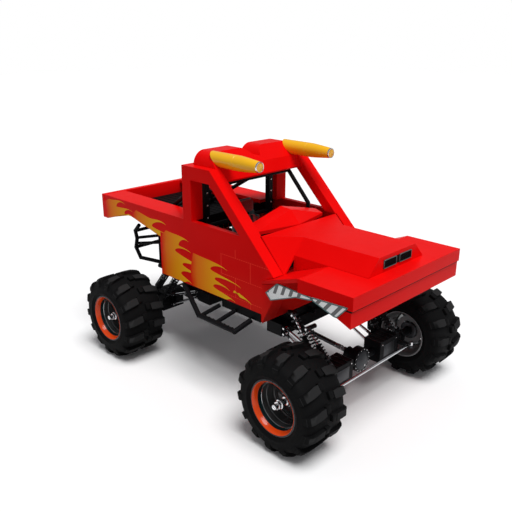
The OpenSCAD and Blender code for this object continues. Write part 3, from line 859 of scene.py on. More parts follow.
def outlined(points, depth):
    # a flat outline in X and Y, given its depth upward in Z
    piece = chain([Vector((x, y, 0)) for x, y in points] + [Vector((*points[0], 0))])
    bpy.ops.mesh.select_all(action="SELECT")
    bpy.ops.mesh.remove_doubles(threshold=0.0002)
    bpy.ops.mesh.select_all(action="SELECT")
    bpy.ops.mesh.edge_face_add()
    bpy.ops.mesh.extrude_region_move(TRANSFORM_OT_translate={"value": (0, 0, depth)})
    return sealed(piece)


def sliced(piece, point, direction, fill=True):
    # keeps what lies behind the plane
    only(piece)
    bpy.ops.object.mode_set(mode="EDIT")
    bpy.ops.mesh.select_all(action="SELECT")
    bpy.ops.mesh.bisect(plane_co=point, plane_no=direction, use_fill=fill, clear_outer=True)
    bpy.ops.object.mode_set(mode="OBJECT")
    return piece


trim = {"stripes": 0.158, "share": 0.38, "lean": 0.165, "edge": 0.013, "rib": 0.0045, "base": 0.012}


def stripedTrim(outline, place):
    # a flat plate with slanted ribs and a raised edge, from a flat outline put in its place
    low = min(y for x, y in outline)
    high = max(y for x, y in outline)
    first = min(x for x, y in outline)
    last = max(x for x, y in outline)
    middle = sum((Vector((x, y, 0)) for x, y in outline), Vector()) / len(outline)
    sides = list(zip(outline, outline[1:] + outline[:1]))
    depth = trim["base"] + trim["rib"]
    base = coloured(outlined(outline, trim["base"]), polished)
    bits = []
    count = int((last - first + trim["lean"]) / trim["stripes"]) + 2
    for i in range(count):
        x = first - trim["lean"] + i * trim["stripes"]
        half = trim["stripes"] * trim["share"] / 2
        rib = outlined([(x - half, low - 0.01), (x + half, low - 0.01),
                        (x + half + trim["lean"], high + 0.01), (x - half + trim["lean"], high + 0.01)],
                       depth)
        for before, after in sides:
            side = Vector((*after, 0)) - Vector((*before, 0))
            outward = Vector((side.y, -side.x, 0)).normalized()
            if outward.dot(Vector((*before, 0)) - middle) < 0:
                outward = -outward
            if rib.data.vertices:
                sliced(rib, Vector((*before, 0)), outward)
        if rib.data.vertices:
            bits.append(coloured(rounded(rib, 0.0012, 1), stripeGrey))
        else:
            bpy.data.objects.remove(rib)
    for before, after in sides:
        start, end = Vector(before), Vector(after)
        side = (end - start).normalized() * trim["edge"] * 0.5
        inward = Vector((-side.y, side.x)) * 2
        edge = outlined([start, end, end + inward, start + inward], depth + 0.002)
        bits.append(coloured(rounded(edge, 0.0015, 1), trimGrey))
    piece = joined([base] + bits)
    piece.data.transform(place)
    return piece


fenderTrim = stripedTrim(
    [(1.265, 1.835), (1.390, 1.755), (1.96, 2.010), (2.27, 2.084), (2.27, 2.126), (1.54, 2.064)],
    Matrix(((1, 0, -0.217, 0), (0.222, 0, 0.976, 0.802), (0, 1, 0, 0), (0, 0, 0, 1))))
noseTrim = stripedTrim(
    [(2.27, 2.084), (2.32, 2.066), (2.62, 1.972), (2.67, 1.972), (2.82, 2.136), (2.82, 2.152),
     (2.27, 2.126)],
    Matrix(((1, 0, 0, 0), (0, 0, 1, 1.2875), (0, 1, 0, 0), (0, 0, 0, 1))))
trimSet = bothSides(joined([sealed(fenderTrim), sealed(noseTrim)]))
fitted(trimSet, "striped_trims", "chassis")
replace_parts(trimSet, "side_trims")
print("trims striped")


# matt black block filling the gap between the nose and the lip below it
noseGapBlock = block((2.700, -1.2882, 2.092), (2.8745, 1.2882, 2.1155), 0.003)
fitted(noseGapBlock, "nose_gap_block", "chassis", mattBlack)


# roof lamp pods, cut where they stand on the fairings
lamp = {"y": 0.790, "z": 3.497, "slope": 3.466, "flutes": 16, "screws": 6}


def lampPod():
    toward = placed((0, lamp["y"], lamp["z"]), toFront)
    shell = turned([(0.0, -0.195), (0.113, -0.195), (0.113, 0.380), (0.110, 0.384), (0.110, 0.392),
                    (0.113, 0.396), (0.113, 0.468), (0.104, 0.585), (0.080, 0.836), (0.076, 0.842),
                    (0.0, 0.842)], 48, closed=False)
    shell.data.transform(toward)
    sliced(shell, Vector((lamp["slope"] - lamp["z"], 0, lamp["z"])), Vector((-1, 0, -1)))
    bezel = turned([(0.066, 0.826), (0.079, 0.826), (0.081, 0.832), (0.079, 0.846), (0.074, 0.8495),
                    (0.067, 0.848), (0.064, 0.838)], 48)
    glass = turned([(0.0, 0.846), (0.020, 0.845), (0.045, 0.842), (0.066, 0.836), (0.066, 0.830),
                    (0.0, 0.830)], 48, closed=False)
    flute = block((0.008, 0.838, -0.0022), (0.062, 0.8465, 0.0022), 0.0012)
    flutes = ringOf(flute, lamp["flutes"])
    band = turned([(0.1125, 0.430), (0.1129, 0.431), (0.1129, 0.447), (0.1125, 0.448), (0.106, 0.446),
                   (0.106, 0.432)], 48)
    screw = rod((0.0762, 0.846, 0), (0.0762, 0.8496, 0), 0.003, 8)
    screws = ringOf(screw, lamp["screws"])
    bits = [coloured(shell, lampYellow)]
    for piece, finish in ((bezel, chrome), (glass, lampGlass), (flutes, lampGlass), (band, lampYellow),
                          (screws, darkSteel)):
        piece.data.transform(toward)
        bits.append(coloured(piece, finish))
    return joined(bits)


lampSet = fitted(bothSides(lampPod()), "lamp_pods", "chassis")
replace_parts(lampSet, "roof_lamps")
print("lamps fitted")


# louvred intake in the hood's front face, two openings side by side
grille = {
    "low": 2.350,
    "high": 2.470,
    "half": 0.330,
    "middle": 0.036,
    "edge": 0.009,
    "louvres": 6,
    "louvreStep": 0.0158,
    "louvreTilt": 24,
}


def intake():
    back = coloured(block((2.6552, -0.325, 2.355), (2.6580, 0.325, 2.465)), mattBlack)
    bits = [back]
    for side in (-1, 1):
        inner, outer = grille["middle"] * side, grille["half"] * side
        low, high = min(inner, outer), max(inner, outer)
        bottom, top, edge = grille["low"], grille["high"], grille["edge"]
        edges = [((low, bottom), (high, bottom + edge)), ((low, top - edge), (high, top)),
                 ((low, bottom), (low + edge, top)), ((high - edge, bottom), (high, top))]
        for start, end in edges:
            bits.append(coloured(block((2.6556, *start), (2.6698, *end), 0.002), trimGrey))
        for i in range(grille["louvres"]):
            z = bottom + 0.022 + i * grille["louvreStep"]
            fin = block((2.6570, low + edge, z - 0.0015), (2.6675, high - edge, z + 0.0015), 0.0008, 1)
            only(fin)
            bpy.ops.transform.rotate(value=math.radians(grille["louvreTilt"]), orient_axis="Y",
                                     center_override=(2.662, 0, z))
            settle(fin)
            bits.append(coloured(fin, frameBlack))
        for y in (low + 0.020, high - 0.020):
            for z in (bottom + 0.0045, top - 0.0045):
                bits.append(coloured(rod((2.6692, y, z), (2.6715, y, z), 0.0032, 8), chrome))
    return joined(bits)


intakePiece = fitted(intake(), "louvred_intake", "chassis")
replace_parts(intakePiece, "intake_grille")
print("intake louvred")

# driver's seat: a moulded shell with five upholstered pads and a belt
seat = {"puff": 0.016, "channel": 0.006, "pull": 0.010, "corner": 0.012, "cuts": 15}


def pad(low, high, turn=0.0, centre=(0, 0, 0), channels=0):
    # a crowned cushion: its sides pull in between the corners and sewn channels run across it
    low, high = Vector(low), Vector(high)
    size = high - low
    middle = (low + high) / 2
    piece = block(low, high)
    only(piece)
    bpy.ops.object.mode_set(mode="EDIT")
    bpy.ops.mesh.select_all(action="SELECT")
    bpy.ops.mesh.subdivide(number_cuts=seat["cuts"])
    bpy.ops.object.mode_set(mode="OBJECT")
    thin = min(range(3), key=lambda axis: size[axis])
    long = max(range(3), key=lambda axis: size[axis])
    for vertex in piece.data.vertices:
        share = [2 * (vertex.co[axis] - middle[axis]) / size[axis] for axis in range(3)]
        flat = [axis for axis in range(3) if axis != thin]
        crown = (1 - share[flat[0]] ** 4) * (1 - share[flat[1]] ** 4)
        thickness = size[thin] / 2 - seat["puff"] * 1.6 * (1 - crown)
        if channels:
            wave = abs(math.sin(math.pi * channels * (share[long] + 1) / 2))
            thickness -= seat["channel"] * (1 - wave) ** 4 * crown
        vertex.co[thin] = middle[thin] + share[thin] * thickness
        for axis, other in ((flat[0], flat[1]), (flat[1], flat[0])):
            pull = seat["pull"] * (1 - share[other] ** 2) * max(0.0, 1 - abs(share[thin])) ** 0.5
            vertex.co[axis] -= share[axis] * abs(share[axis]) * (pull + seat["corner"] * share[other] ** 6)
    if turn:
        only(piece)
        bpy.ops.transform.rotate(value=turn, orient_axis="Y", center_override=centre)
        settle(piece)
    applyModifier(piece, "SUBSURF", levels=1, render_levels=1)
    return piece


seatPads = [
    pad((-0.225, -0.215, 1.742), (0.258, 0.215, 1.848), channels=4),
    pad((-0.292, -0.205, 1.865), (-0.203, 0.205, 2.425), channels=6),
    pad((-0.292, -0.150, 2.490), (-0.205, 0.150, 2.695)),
]
bolsters = [
    pad((-0.292, 0.206, 1.930), (-0.180, 0.256, 2.380)),
    pad((-0.200, 0.216, 1.752), (0.240, 0.256, 1.875)),
]
cushions = seatPads + [bothSides(piece) for piece in bolsters]
cushionSet = fitted(joined(cushions), "seat_cushions", "chassis", seatRed, 60)
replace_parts(cushionSet, "driver_seat")

shellBits = [
    block((-0.258, -0.258, 1.702), (0.258, 0.258, 1.738), 0.010, 3),
    block((-0.329, -0.250, 1.710), (-0.300, 0.250, 2.470), 0.010, 3),
    block((-0.329, -0.165, 2.460), (-0.300, 0.165, 2.699), 0.012, 3),
    bothSides(block((-0.320, 0.246, 1.720), (-0.200, 0.260, 2.400), 0.006, 2)),
]
for z in (1.95, 2.15, 2.35):
    shellBits.append(bothSides(rod((-0.3305, 0.16, z), (-0.3265, 0.16, z), 0.012, 12, 0.001)))
slots = bothSides(block((-0.331, 0.045, 2.43), (-0.296, 0.115, 2.455), 0.004))
rails = bothSides(block((-0.24, 0.175, 1.6995), (0.24, 0.205, 1.7045), 0.002))
seatFrame = dressed(((joined(shellBits), seatShell), (slots, mattBlack), (rails, darkSteel)))
fitted(seatFrame, "seat_shell", "chassis")


def strap(points, width):
    # flat webbing through the points, wide along Y
    bits = []
    for a, b in zip(points, points[1:]):
        a, b = Vector(a), Vector(b)
        run = b - a
        tape = block((-0.0015, -width / 2, -0.002), (0.0015, width / 2, run.length + 0.002), 0.0006, 1)
        upright = "Y" if abs(run.y) < 0.3 * run.length else "X"
        tape.data.transform(Matrix.Translation(a) @ run.to_track_quat("Z", upright).to_matrix().to_4x4())
        bits.append(tape)
    return joined(bits)


belts = bothSides(strap([(-0.197, 0.075, 2.44), (-0.192, 0.078, 2.30), (-0.190, 0.075, 2.08),
                         (-0.150, 0.05, 1.93), (-0.100, 0.030, 1.868)], 0.046))
buckle = block((-0.115, -0.035, 1.864), (-0.060, 0.035, 1.884), 0.006, 2)
fitted(dressed(((belts, webbing), (buckle, chrome))), "seat_belts", "chassis")
print("seat trimmed")


# steering wheel: gripped rim, drilled spokes and a column
steering = {
    "at": (0.330, 0, 2.220),
    "tilt": -65,
    "radius": 0.165,
    "grip": 0.0145,
    "stitches": 60,
    "spokes": 3,
    "bolts": 6,
}
deselect()
bpy.ops.mesh.primitive_torus_add(major_radius=steering["radius"], minor_radius=steering["grip"],
                                 major_segments=72, minor_segments=14)
grip = settle(bpy.context.object)
stitches = ringOf(rod((0.150, -0.004, 0.0), (0.150, 0.004, 0.0), 0.0013, 6), steering["stitches"], "Z")
spoke = block((0.035, -0.014, -0.0025), (0.157, 0.014, 0.0025), 0.002)
spokes = ringOf(spoke, steering["spokes"], "Z", math.radians(90))
holes = []
for out, radius in ((0.075, 0.007), (0.110, 0.006)):
    hole = rod((out, 0, -0.0032), (out, 0, 0.0032), radius, 12)
    holes.append(ringOf(hole, steering["spokes"], "Z", math.radians(90)))
boss = rod((0, 0, -0.014), (0, 0, 0.014), 0.044, 36, 0.004)
bolts = ringOf(rod((0.031, 0, 0.012), (0.031, 0, 0.0175), 0.004, 6, 0.0006), steering["bolts"], "Z")
column = rod((0, 0, -0.238), (0, 0, -0.014), 0.0195, 24, 0.002)
sleeve = rod((0, 0, -0.070), (0, 0, -0.014), 0.028, 24, 0.003)
driverWheel = dressed(((grip, gripHide), (stitches, trimGrey), (spokes, darkSteel), (holes[0], mattBlack),
                       (holes[1], mattBlack), (boss, mattBlack), (bolts, chrome), (column, darkSteel),
                       (sleeve, mattBlack)))
driverWheel.data.transform(placed(steering["at"], math.radians(steering["tilt"]), "Y"))
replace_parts(fitted(driverWheel, "driver_wheel", "chassis"), "steering_wheel")


# dash face: round gauges in bezels, a row of switches
dashFace = {
    "x": 0.5335,
    "gauges": [  # y, z and radius
        (-0.36, 2.355, 0.052), (-0.22, 2.355, 0.038), (0.0, 2.385, 0.030),
        (0.22, 2.355, 0.038), (0.36, 2.355, 0.052)],
    "ticks": 12,
    "switches": 9,
    "switchStep": 0.07,
}
bits = []
x = dashFace["x"]
for y, z, radius in dashFace["gauges"]:
    ring = turned([(radius, -0.002), (radius, 0.010), (radius - 0.004, 0.013), (radius - 0.009, 0.009),
                   (radius - 0.009, -0.002)], 36)
    face = turned([(0.0, 0.003), (radius - 0.008, 0.003), (radius - 0.008, -0.001), (0.0, -0.001)], 36,
                  closed=False)
    needle = block((-0.0012, 0.0045, -0.006), (0.0012, 0.0058, radius * 0.66), 0.0004, 1)
    pin = rod((0, 0.003, 0), (0, 0.0075, 0), 0.0045, 12, 0.0008)
    tick = block((-0.0008, 0.0035, radius * 0.60), (0.0008, 0.0042, radius * 0.74), 0.0002, 1)
    ticks = ringOf(tick, dashFace["ticks"])
    place = placed((x, y, z), toRear)
    for piece, finish in ((ring, chrome), (face, mattBlack), (needle, lampYellow), (pin, darkSteel),
                          (ticks, polished)):
        piece.data.transform(place)
        bits.append(coloured(piece, finish))
for i in range(dashFace["switches"]):
    y = -0.28 + i * dashFace["switchStep"]
    bits.append(coloured(block((0.524, y - 0.011, 2.258), (x, y + 0.011, 2.292), 0.002), trimGrey))
    bits.append(coloured(rod((0.5275, y, 2.275), (0.506, y, 2.284), 0.0035, 10, 0.001), chrome))
bits.append(coloured(block((0.5290, -0.44, 2.232), (x, 0.44, 2.424), 0.004), pebbledBlack))
fitted(joined(bits), "dash_gauges", "chassis")
print("cockpit fitted")


# domed rivets up the front of the black posts behind the side windows
postRivets = {"x": -0.375, "y": 0.720, "heights": (2.51, 2.71, 2.91), "radius": 0.014, "dome": 0.009}
rivets = []
for z in postRivets["heights"]:
    spot = Vector((postRivets["x"], postRivets["y"], z))
    radius = postRivets["radius"]
    rivets.append(rodAt(spot, alongX, 0.002, postRivets["dome"], radius, 10, radius * 0.35))
fitted(bothSides(joined(rivets)), "post_rivets", "chassis", polished)


# fasteners along the body's panel edges
fastenerHead = {"radius": 0.0065, "height": 0.0022}
fastenerRows = [  # start, end, outward, count
    ((2.05, 1.2885, 2.270), (2.86, 1.2885, 2.270), (0, 1, 0), 10),
    ((2.8705, 0.06, 2.075), (2.8705, 1.25, 2.075), (1, 0, 0), 12),
    ((-2.8815, 0.05, 2.150), (-2.8815, 0.84, 2.150), (-1, 0, 0), 9),
    ((-2.8815, 0.22, 2.476), (-2.8815, 0.84, 2.476), (-1, 0, 0), 7),
    ((-0.52, 1.0675, 1.485), (1.12, 1.0675, 1.485), (0, 1, 0), 15),
    ((-2.70, 0.66, 2.5275), (-0.62, 0.66, 2.5275), (0, 0, 1), 17),
    ((1.42, 0.395, 2.5245), (2.60, 0.385, 2.5245), (0, 0, 1), 12),
]
heads = []
for start, end, outward, count in fastenerRows:
    start, end, outward = Vector(start), Vector(end), Vector(outward)
    for i in range(count):
        spot = start + (end - start) * i / (count - 1)
        heads.append(rodAt(spot, outward, 0.002, fastenerHead["height"], fastenerHead["radius"], 10, 0.0008))
fitted(bothSides(joined(heads)), "panel_fasteners", "chassis", bodyRed)
print("panels fastened")

# engine: eight cylinders in two banks, blower, air scoop, belts and headers, inside its own space
engine = {
    "bank": 24,
    "bankAt": (0, 0.030, 1.560),
    "coverRibs": 7,
    "blowerRibs": 12,
    "pipes": 4,
    "belt": -0.681,
}


def bankPart(low, high, bevel=0.006):
    # a block lying on one bank, given in the bank's own frame and then leant over
    piece = block(low, high, bevel)
    piece.data.transform(placed(engine["bankAt"], -math.radians(engine["bank"]), "X"))
    return piece


cast = [
    block((-1.200, -0.120, 1.360), (-0.715, 0.120, 1.800), 0.012),
    block((-1.180, -0.150, 1.282), (-0.740, 0.150, 1.372), 0.014),
    block((-1.239, -0.170, 1.340), (-1.195, 0.170, 1.720), 0.010),
    bothSides(bankPart((-1.170, -0.060, 0.0), (-0.730, 0.075, 0.180))),
]
covers = [bothSides(bankPart((-1.160, -0.040, 0.182), (-0.740, 0.070, 0.245), 0.020))]
for i in range(engine["coverRibs"]):
    x = -1.130 + i * 0.060
    covers.append(bothSides(bankPart((x - 0.004, -0.030, 0.243), (x + 0.004, 0.060, 0.250), 0.002)))
blower = [block((-1.120, -0.105, 1.880), (-0.760, 0.105, 2.040), 0.024, 3),
          block((-1.140, -0.115, 1.800), (-0.745, 0.115, 1.884), 0.010)]
for i in range(engine["blowerRibs"]):
    x = -1.095 + i * 0.028
    blower.append(block((x, -0.111, 1.905), (x + 0.009, 0.111, 2.020), 0.003))
scoop = [block((-1.120, -0.120, 2.050), (-0.790, 0.120, 2.095), 0.010),
         block((-1.140, -0.170, 2.095), (-0.745, 0.170, 2.232), 0.030, 3)]
mouths = [block((-0.748, y - 0.048, 2.118), (-0.7415, y + 0.048, 2.208), 0.010)
          for y in (-0.108, 0.0, 0.108)]
pipes = []
for i in range(engine["pipes"]):
    x = -1.115 + i * 0.110
    pipes.append(bothSides(rod((x, 0.170, 1.630), (x, 0.255, 1.590), 0.021, 16)))
    pipes.append(bothSides(rod((x, 0.255, 1.595), (x - 0.012, 0.262, 1.440), 0.020, 16)))
pipes.append(bothSides(rod((-1.225, 0.262, 1.430), (-0.770, 0.262, 1.430), 0.036, 24, 0.006)))
pulleys = []
pulleyTable = ((0.0, 1.400, 0.088), (0.0, 1.960, 0.060), (0.140, 1.660, 0.042), (-0.150, 1.600, 0.048))
for y, z, radius in pulleyTable:
    wheel = turned([(0.0, 0.0), (radius, 0.0), (radius, 0.004), (radius - 0.010, 0.012),
                    (radius - 0.010, 0.026), (radius, 0.034), (radius, 0.038), (radius * 0.5, 0.038),
                    (radius * 0.45, 0.030), (0.0, 0.030)], 40, closed=False)
    wheel.data.transform(placed((-0.700, y, z), toFront))
    pulleys.append(wheel)
x = engine["belt"]
belt = [rod((x, side * 0.075, 1.405), (x, side * 0.050, 1.975), 0.008, 8) for side in (1, -1)]
studs = []
for i in range(6):
    x = -1.100 + i * 0.062
    for y in (-0.095, 0.095):
        studs.append(rod((x, y, 2.093), (x, y, 2.099), 0.007, 6, 0.001))
for y in (-0.13, 0.13):
    for i in range(7):
        x = -1.150 + i * 0.064
        studs.append(rod((x, y, 1.370), (x, y, 1.380), 0.008, 6, 0.001))
engineBits = ((cast, castGrey), (covers, seatShell), (blower, polished), (scoop, bodyRed),
              (mouths, mattBlack), (pipes, chrome), (pulleys, darkSteel), (belt, mattBlack), (studs, chrome))
builtEngine = dressed([(joined(parts), finish) for parts, finish in engineBits])
fitted(builtEngine, "blown_engine", "chassis")
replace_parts(builtEngine, "engine")
print("engine built:", len(builtEngine.data.polygons), "faces")


# gearbox: ribbed case with bolted covers and output flanges
gearbox = {
    "ribs": 9,
    "ribStep": 0.054,
    "lidBolts": 8,
    "boltStep": 0.058,
    "flangeBolts": 8,
    "boltCircle": 0.066,
    "shaftZ": 0.900,
}
case = [block((-0.375, -0.175, 0.882), (0.110, 0.175, 1.122), 0.018, 3)]
for i in range(gearbox["ribs"]):
    x = -0.345 + i * gearbox["ribStep"]
    case.append(block((x, -0.188, 0.895), (x + 0.010, 0.188, 1.110), 0.003))
case.append(block((-0.36, -0.14, 1.118), (0.09, 0.14, 1.133), 0.006))
boltsOn = []
for i in range(gearbox["lidBolts"]):
    x = -0.34 + i * gearbox["boltStep"]
    for y in (-0.125, 0.125):
        boltsOn.append(rod((x, y, 1.130), (x, y, 1.135), 0.008, 6, 0.001))
flanges = []
height = gearbox["shaftZ"]
for x, outward in ((0.120, 1), (-0.385, -1)):
    flanges.append(rod((x - outward * 0.02, 0, height), (x, 0, height), 0.085, 40, 0.004))
    for i in range(gearbox["flangeBolts"]):
        angle = math.tau * i / gearbox["flangeBolts"]
        y = gearbox["boltCircle"] * math.cos(angle)
        z = height + gearbox["boltCircle"] * math.sin(angle)
        boltsOn.append(rod((x - outward * 0.002, y, z), (x + outward * 0.004, y, z), 0.008, 6, 0.001))
transfer = dressed(((joined(case), castGrey), (joined(boltsOn), chrome), (joined(flanges), darkSteel)))
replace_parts(fitted(transfer, "transfer_gearbox", "chassis"), "gearbox")


# driveshafts: tube, welded yokes and cross joints at both ends
driveshaft = {"tube": 0.036, "yoke": 0.0405, "cross": 0.014, "arm": 0.040, "fork": 0.030, "crossAt": 0.068}


def shaftPiece(start, end):
    start, end = Vector(start), Vector(end)
    along = (end - start).normalized()
    yoke, cross, arm = driveshaft["yoke"], driveshaft["cross"], driveshaft["arm"]
    parts = [(rod(start + along * 0.12, end - along * 0.12, driveshaft["tube"], 32), darkSteel)]
    for point, inward in ((start, along), (end, -along)):
        parts.append((rodAt(point, inward, -0.004, 0.030, yoke, 28, 0.003), castGrey))
        parts.append((rodAt(point, inward, -0.105, 0.150, yoke, 28, 0.006), castGrey))
        centre = point + inward * driveshaft["crossAt"]
        parts.append((rodAt(centre, alongY, arm, arm, cross, 16), chrome))
        parts.append((rodAt(centre, alongZ, arm, arm, cross, 16), chrome))
        for side in (-driveshaft["fork"], driveshaft["fork"]):
            parts.append((rodAt(centre + alongY * side, inward, 0.050, 0.014, 0.013, 12, 0.003), castGrey))
            parts.append((rodAt(centre + alongZ * side, inward, 0.014, 0.050, 0.013, 12, 0.003), castGrey))
        parts.append((rodAt(point + inward * 0.175, along, 0.004, 0.004, 0.0385, 28, 0.001), chrome))
    return dressed(parts)


shafts = joined([shaftPiece((0.125, 0, 0.900), (1.890, 0, 0.760)),
                 shaftPiece((-0.392, 0, 0.900), (-1.482, 0, 0.760))])
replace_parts(fitted(shafts, "prop_shafts", "chassis"), "driveshafts")
print("driveline built")


# axle fittings: bolted cover on the differential, ribs and bolts on the end boxes, link pins
def axleFittings():
    x = axleX["f"]
    toCover = placed((x, 0, wheelHeight), toFront)
    cover = turned([(0.0, 0.066), (0.150, 0.066), (0.150, 0.072), (0.120, 0.092), (0.070, 0.108),
                    (0.0, 0.112)], 48, closed=False)
    cover.data.transform(toCover)
    bolts = ringOf(rod((0.168, 0.064, 0), (0.168, 0.072, 0), 0.009, 6, 0.001), 14)
    bolts.data.transform(toCover)
    plug = rod((x + 0.100, 0, 0.640), (x + 0.118, 0, 0.640), 0.014, 6, 0.002)
    parts = [(cover, darkSteel), (bolts, chrome), (plug, chrome)]
    for y in (0.390, 0.750):
        for z in (0.590, 0.835):
            head = rod((x + 0.149, y, z), (x + 0.160, y, z), 0.013, 6, 0.002)
            parts.append((bothSides(head), chrome))
    for y in (0.46, 0.57, 0.68):
        rib = block((x - 0.140, y - 0.004, 0.881), (x + 0.140, y + 0.004, 0.889), 0.002)
        parts.append((bothSides(rib), darkSteel))
    for y in (0.360, 0.780):
        weld = rod((x - 0.150, y, 0.880), (x + 0.150, y, 0.880), 0.006, 8, 0.001)
        parts.append((bothSides(weld), darkSteel))
    plate = block((x + 0.1495, 0.43, 0.62), (x + 0.1545, 0.71, 0.81), 0.004)
    parts.append((bothSides(plate), darkSteel))
    kingpin = [rod((x, 0.960, 0.880), (x, 0.960, 0.889), 0.034, 24, 0.003),
               rod((x, 0.960, 0.889), (x, 0.960, 0.897), 0.016, 6, 0.002)]
    parts.append((bothSides(joined(kingpin)), chrome))
    return dressed(parts)


fitted(withRear(axleFittings()), "axle_fittings", "chassis")

linkTable = [  # ends of the upper and lower links at the front left
    ((1.204, 0.600, 1.095), (1.944, 0.600, 0.815)),
    ((1.204, 0.600, 1.000), (1.944, 0.600, 0.640)),
]
linkEnds = []
for start, end in linkTable:
    run = (Vector(end) - Vector(start)).normalized()
    for point, inward in ((Vector(start), run), (Vector(end), -run)):
        linkEnds.append((rodAt(point, inward, -0.040, 0.062, 0.026, 6, 0.003), darkSteel))
        linkEnds.append((rodAt(point, inward, -0.062, 0.105, 0.0245, 20, 0.003), darkSteel))
        for side in (-1, 1):
            face = point + alongY * side * 0.043
            linkEnds.append((rod(face, face + alongY * side * 0.010, 0.019, 6, 0.002), chrome))
fitted(fourCorners(dressed(linkEnds)), "link_ends", "chassis")
print("axles dressed")


# what turns with each knuckle: the flange bolts, and the boot and nut of its ball joint
steeringEnds = {"pinY": 0.960, "flangeY": 1.0655, "boltCircle": 0.100, "bolts": 8}
for corner in corners:
    side = 1 if corner[1] == "l" else -1
    x = axleX[corner[0]]
    arm = joints["tie_rod_" + ("front" if corner[0] == "f" else "rear") + "_pin"]
    y = side * steeringEnds["pinY"]
    boot = turned([(0.016, 0.681), (0.028, 0.681), (0.030, 0.684), (0.024, 0.687), (0.016, 0.687)], 24)
    boot.data.transform(placed((arm.x, y, 0), math.pi / 2, "X"))
    parts = [(boot, mattBlack), (rod((arm.x, y, 0.632), (arm.x, y, 0.641), 0.018, 6, 0.002), chrome)]
    for i in range(steeringEnds["bolts"]):
        angle = math.tau * i / steeringEnds["bolts"]
        spot = Vector((x + steeringEnds["boltCircle"] * math.cos(angle), side * steeringEnds["flangeY"],
                       wheelHeight + steeringEnds["boltCircle"] * math.sin(angle)))
        parts.append((rodAt(spot, alongY * side, 0.002, 0.010, 0.010, 6, 0.001), chrome))
    fitted(dressed(parts), "knuckle_fasteners_" + corner, "knuckle_" + corner)

for end in ("front", "rear"):
    x = joints["tie_rod_" + end + "_pin"].x
    parts = []
    for side in (-1, 1):
        y = side * steeringEnds["pinY"]
        parts.append((rod((x, side * 0.860, 0.712), (x, side * 0.905, 0.712), 0.0265, 6, 0.003), darkSteel))
        parts.append((rod((x, y, 0.735), (x, y, 0.741), 0.024, 24, 0.002), darkSteel))
    fitted(dressed(parts), "tie_rod_ends_" + end, "tie_rod_" + end)
print("knuckles dressed")


# tailgate: a pressed panel sunk between its edges, round lamps beside it and a latch handle
def sunkFace(piece, axis, value, inset, depth):
    # draws one flat face in, then pushes it into the piece
    only(piece)
    bpy.ops.object.mode_set(mode="EDIT")
    bpy.ops.mesh.select_mode(type="FACE")
    bpy.ops.mesh.select_all(action="DESELECT")
    bpy.ops.object.mode_set(mode="OBJECT")
    for face in piece.data.polygons:
        face.select = all(abs(piece.data.vertices[i].co[axis] - value) < 0.0005 for i in face.vertices)
    bpy.ops.object.mode_set(mode="EDIT")
    bpy.ops.mesh.inset(thickness=inset, depth=-depth)
    bpy.ops.object.mode_set(mode="OBJECT")
    return piece


tailgate = {
    "rear": -2.894,
    "panel": -2.882,
    "lampY": 0.945,
    "lampHeights": (2.235, 2.391),
    "presses": (0.30, 0.62),
}
gate = block((tailgate["rear"], -1.068, 2.098), (-2.789, 1.068, 2.528))
sunkFace(gate, 0, tailgate["rear"], 0.034, 0.0)
sunkFace(gate, 0, tailgate["rear"], 0.006, 0.012)
rounded(gate, 0.004)
gateBits = [coloured(gate, bodyRed)]
for z in tailgate["lampHeights"]:
    ring = turned([(0.060, 0.0), (0.060, 0.006), (0.054, 0.0095), (0.047, 0.007), (0.047, -0.002)], 36)
    lens = turned([(0.0, 0.0085), (0.028, 0.0075), (0.047, 0.005), (0.047, -0.002), (0.0, -0.002)], 36,
                  closed=False)
    for piece, finish in ((ring, chrome), (lens, tailLens)):
        piece.data.transform(placed((tailgate["panel"], tailgate["lampY"], z), toRear))
        gateBits.append(coloured(bothSides(piece), finish))
gateBits.append(coloured(block((-2.8860, -0.130, 2.400), (-2.8810, 0.130, 2.485), 0.002), mattBlack))
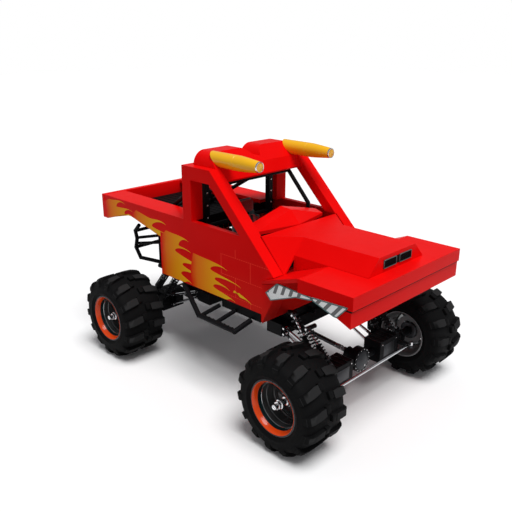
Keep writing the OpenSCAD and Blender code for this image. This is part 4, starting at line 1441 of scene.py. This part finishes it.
gateBits.append(coloured(block((-2.8935, -0.100, 2.446), (-2.8850, 0.100, 2.464), 0.003), chrome))
for y in tailgate["presses"]:
    press = block((-2.8875, y - 0.11, 2.190), (-2.8815, y + 0.11, 2.360), 0.003)
    gateBits.append(coloured(bothSides(press), bodyRed))
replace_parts(fitted(joined(gateBits), "tailgate_panel", "chassis"), "tailgate")


# bed floor: pressed ribs and a strip across its rear edge
bedRibs = {"count": 15, "step": 0.12, "first": -0.84}
ribs = []
for i in range(bedRibs["count"]):
    y = bedRibs["first"] + i * bedRibs["step"]
    ribs.append(block((-2.74, y - 0.022, 2.283), (-1.80, y + 0.022, 2.293), 0.005))
    ribs.append(block((-1.58, y - 0.022, 2.283), (-0.68, y + 0.022, 2.293), 0.005))
ribs.append(block((-2.775, -0.96, 2.283), (-2.755, 0.96, 2.291), 0.003))
fitted(joined(ribs), "bed_ribs", "chassis", pebbledBlack)

floorRibs = []
for i in range(7):
    floorRibs.append(block((0.30 + i * 0.12, -0.95, 1.283), (0.34 + i * 0.12, 0.95, 1.2905), 0.003))
for y in (-0.80, -0.30, 0.30, 0.80):
    floorRibs.append(block((-0.52, y - 0.03, 1.432), (0.25, y + 0.03, 1.4405), 0.003))
fitted(joined(floorRibs), "floor_ribs", "chassis", pebbledBlack)
print("bed and floor ribbed")


# gussets and weld collars where the tubes of the frame and the steps meet
collars = []
for x in (-2.070, -1.290, -0.600):
    for z in (1.216, 1.850):
        collars.append(rod((x, 0.430, z), (x, 0.430, z + 0.014), 0.039, 20, 0.005))
for x in (-0.430, 0.420):
    collars.append(rod((x, 0.384, 1.180), (x, 0.396, 1.180), 0.041, 20, 0.005))
for point in ((0.030, 1.300, 1.150), (0.838, 1.300, 1.150)):
    collars.append(rodAt(Vector(point), alongX, 0.006, 0.006, 0.0445, 20, 0.004))
for i in range(9):
    x = 0.10 + i * 0.085
    collars.append(block((x - 0.012, 1.278, 1.1885), (x + 0.012, 1.322, 1.1935), 0.002))
fitted(bothSides(joined(collars)), "weld_collars", "chassis", frameBlack)
print("welds laid")
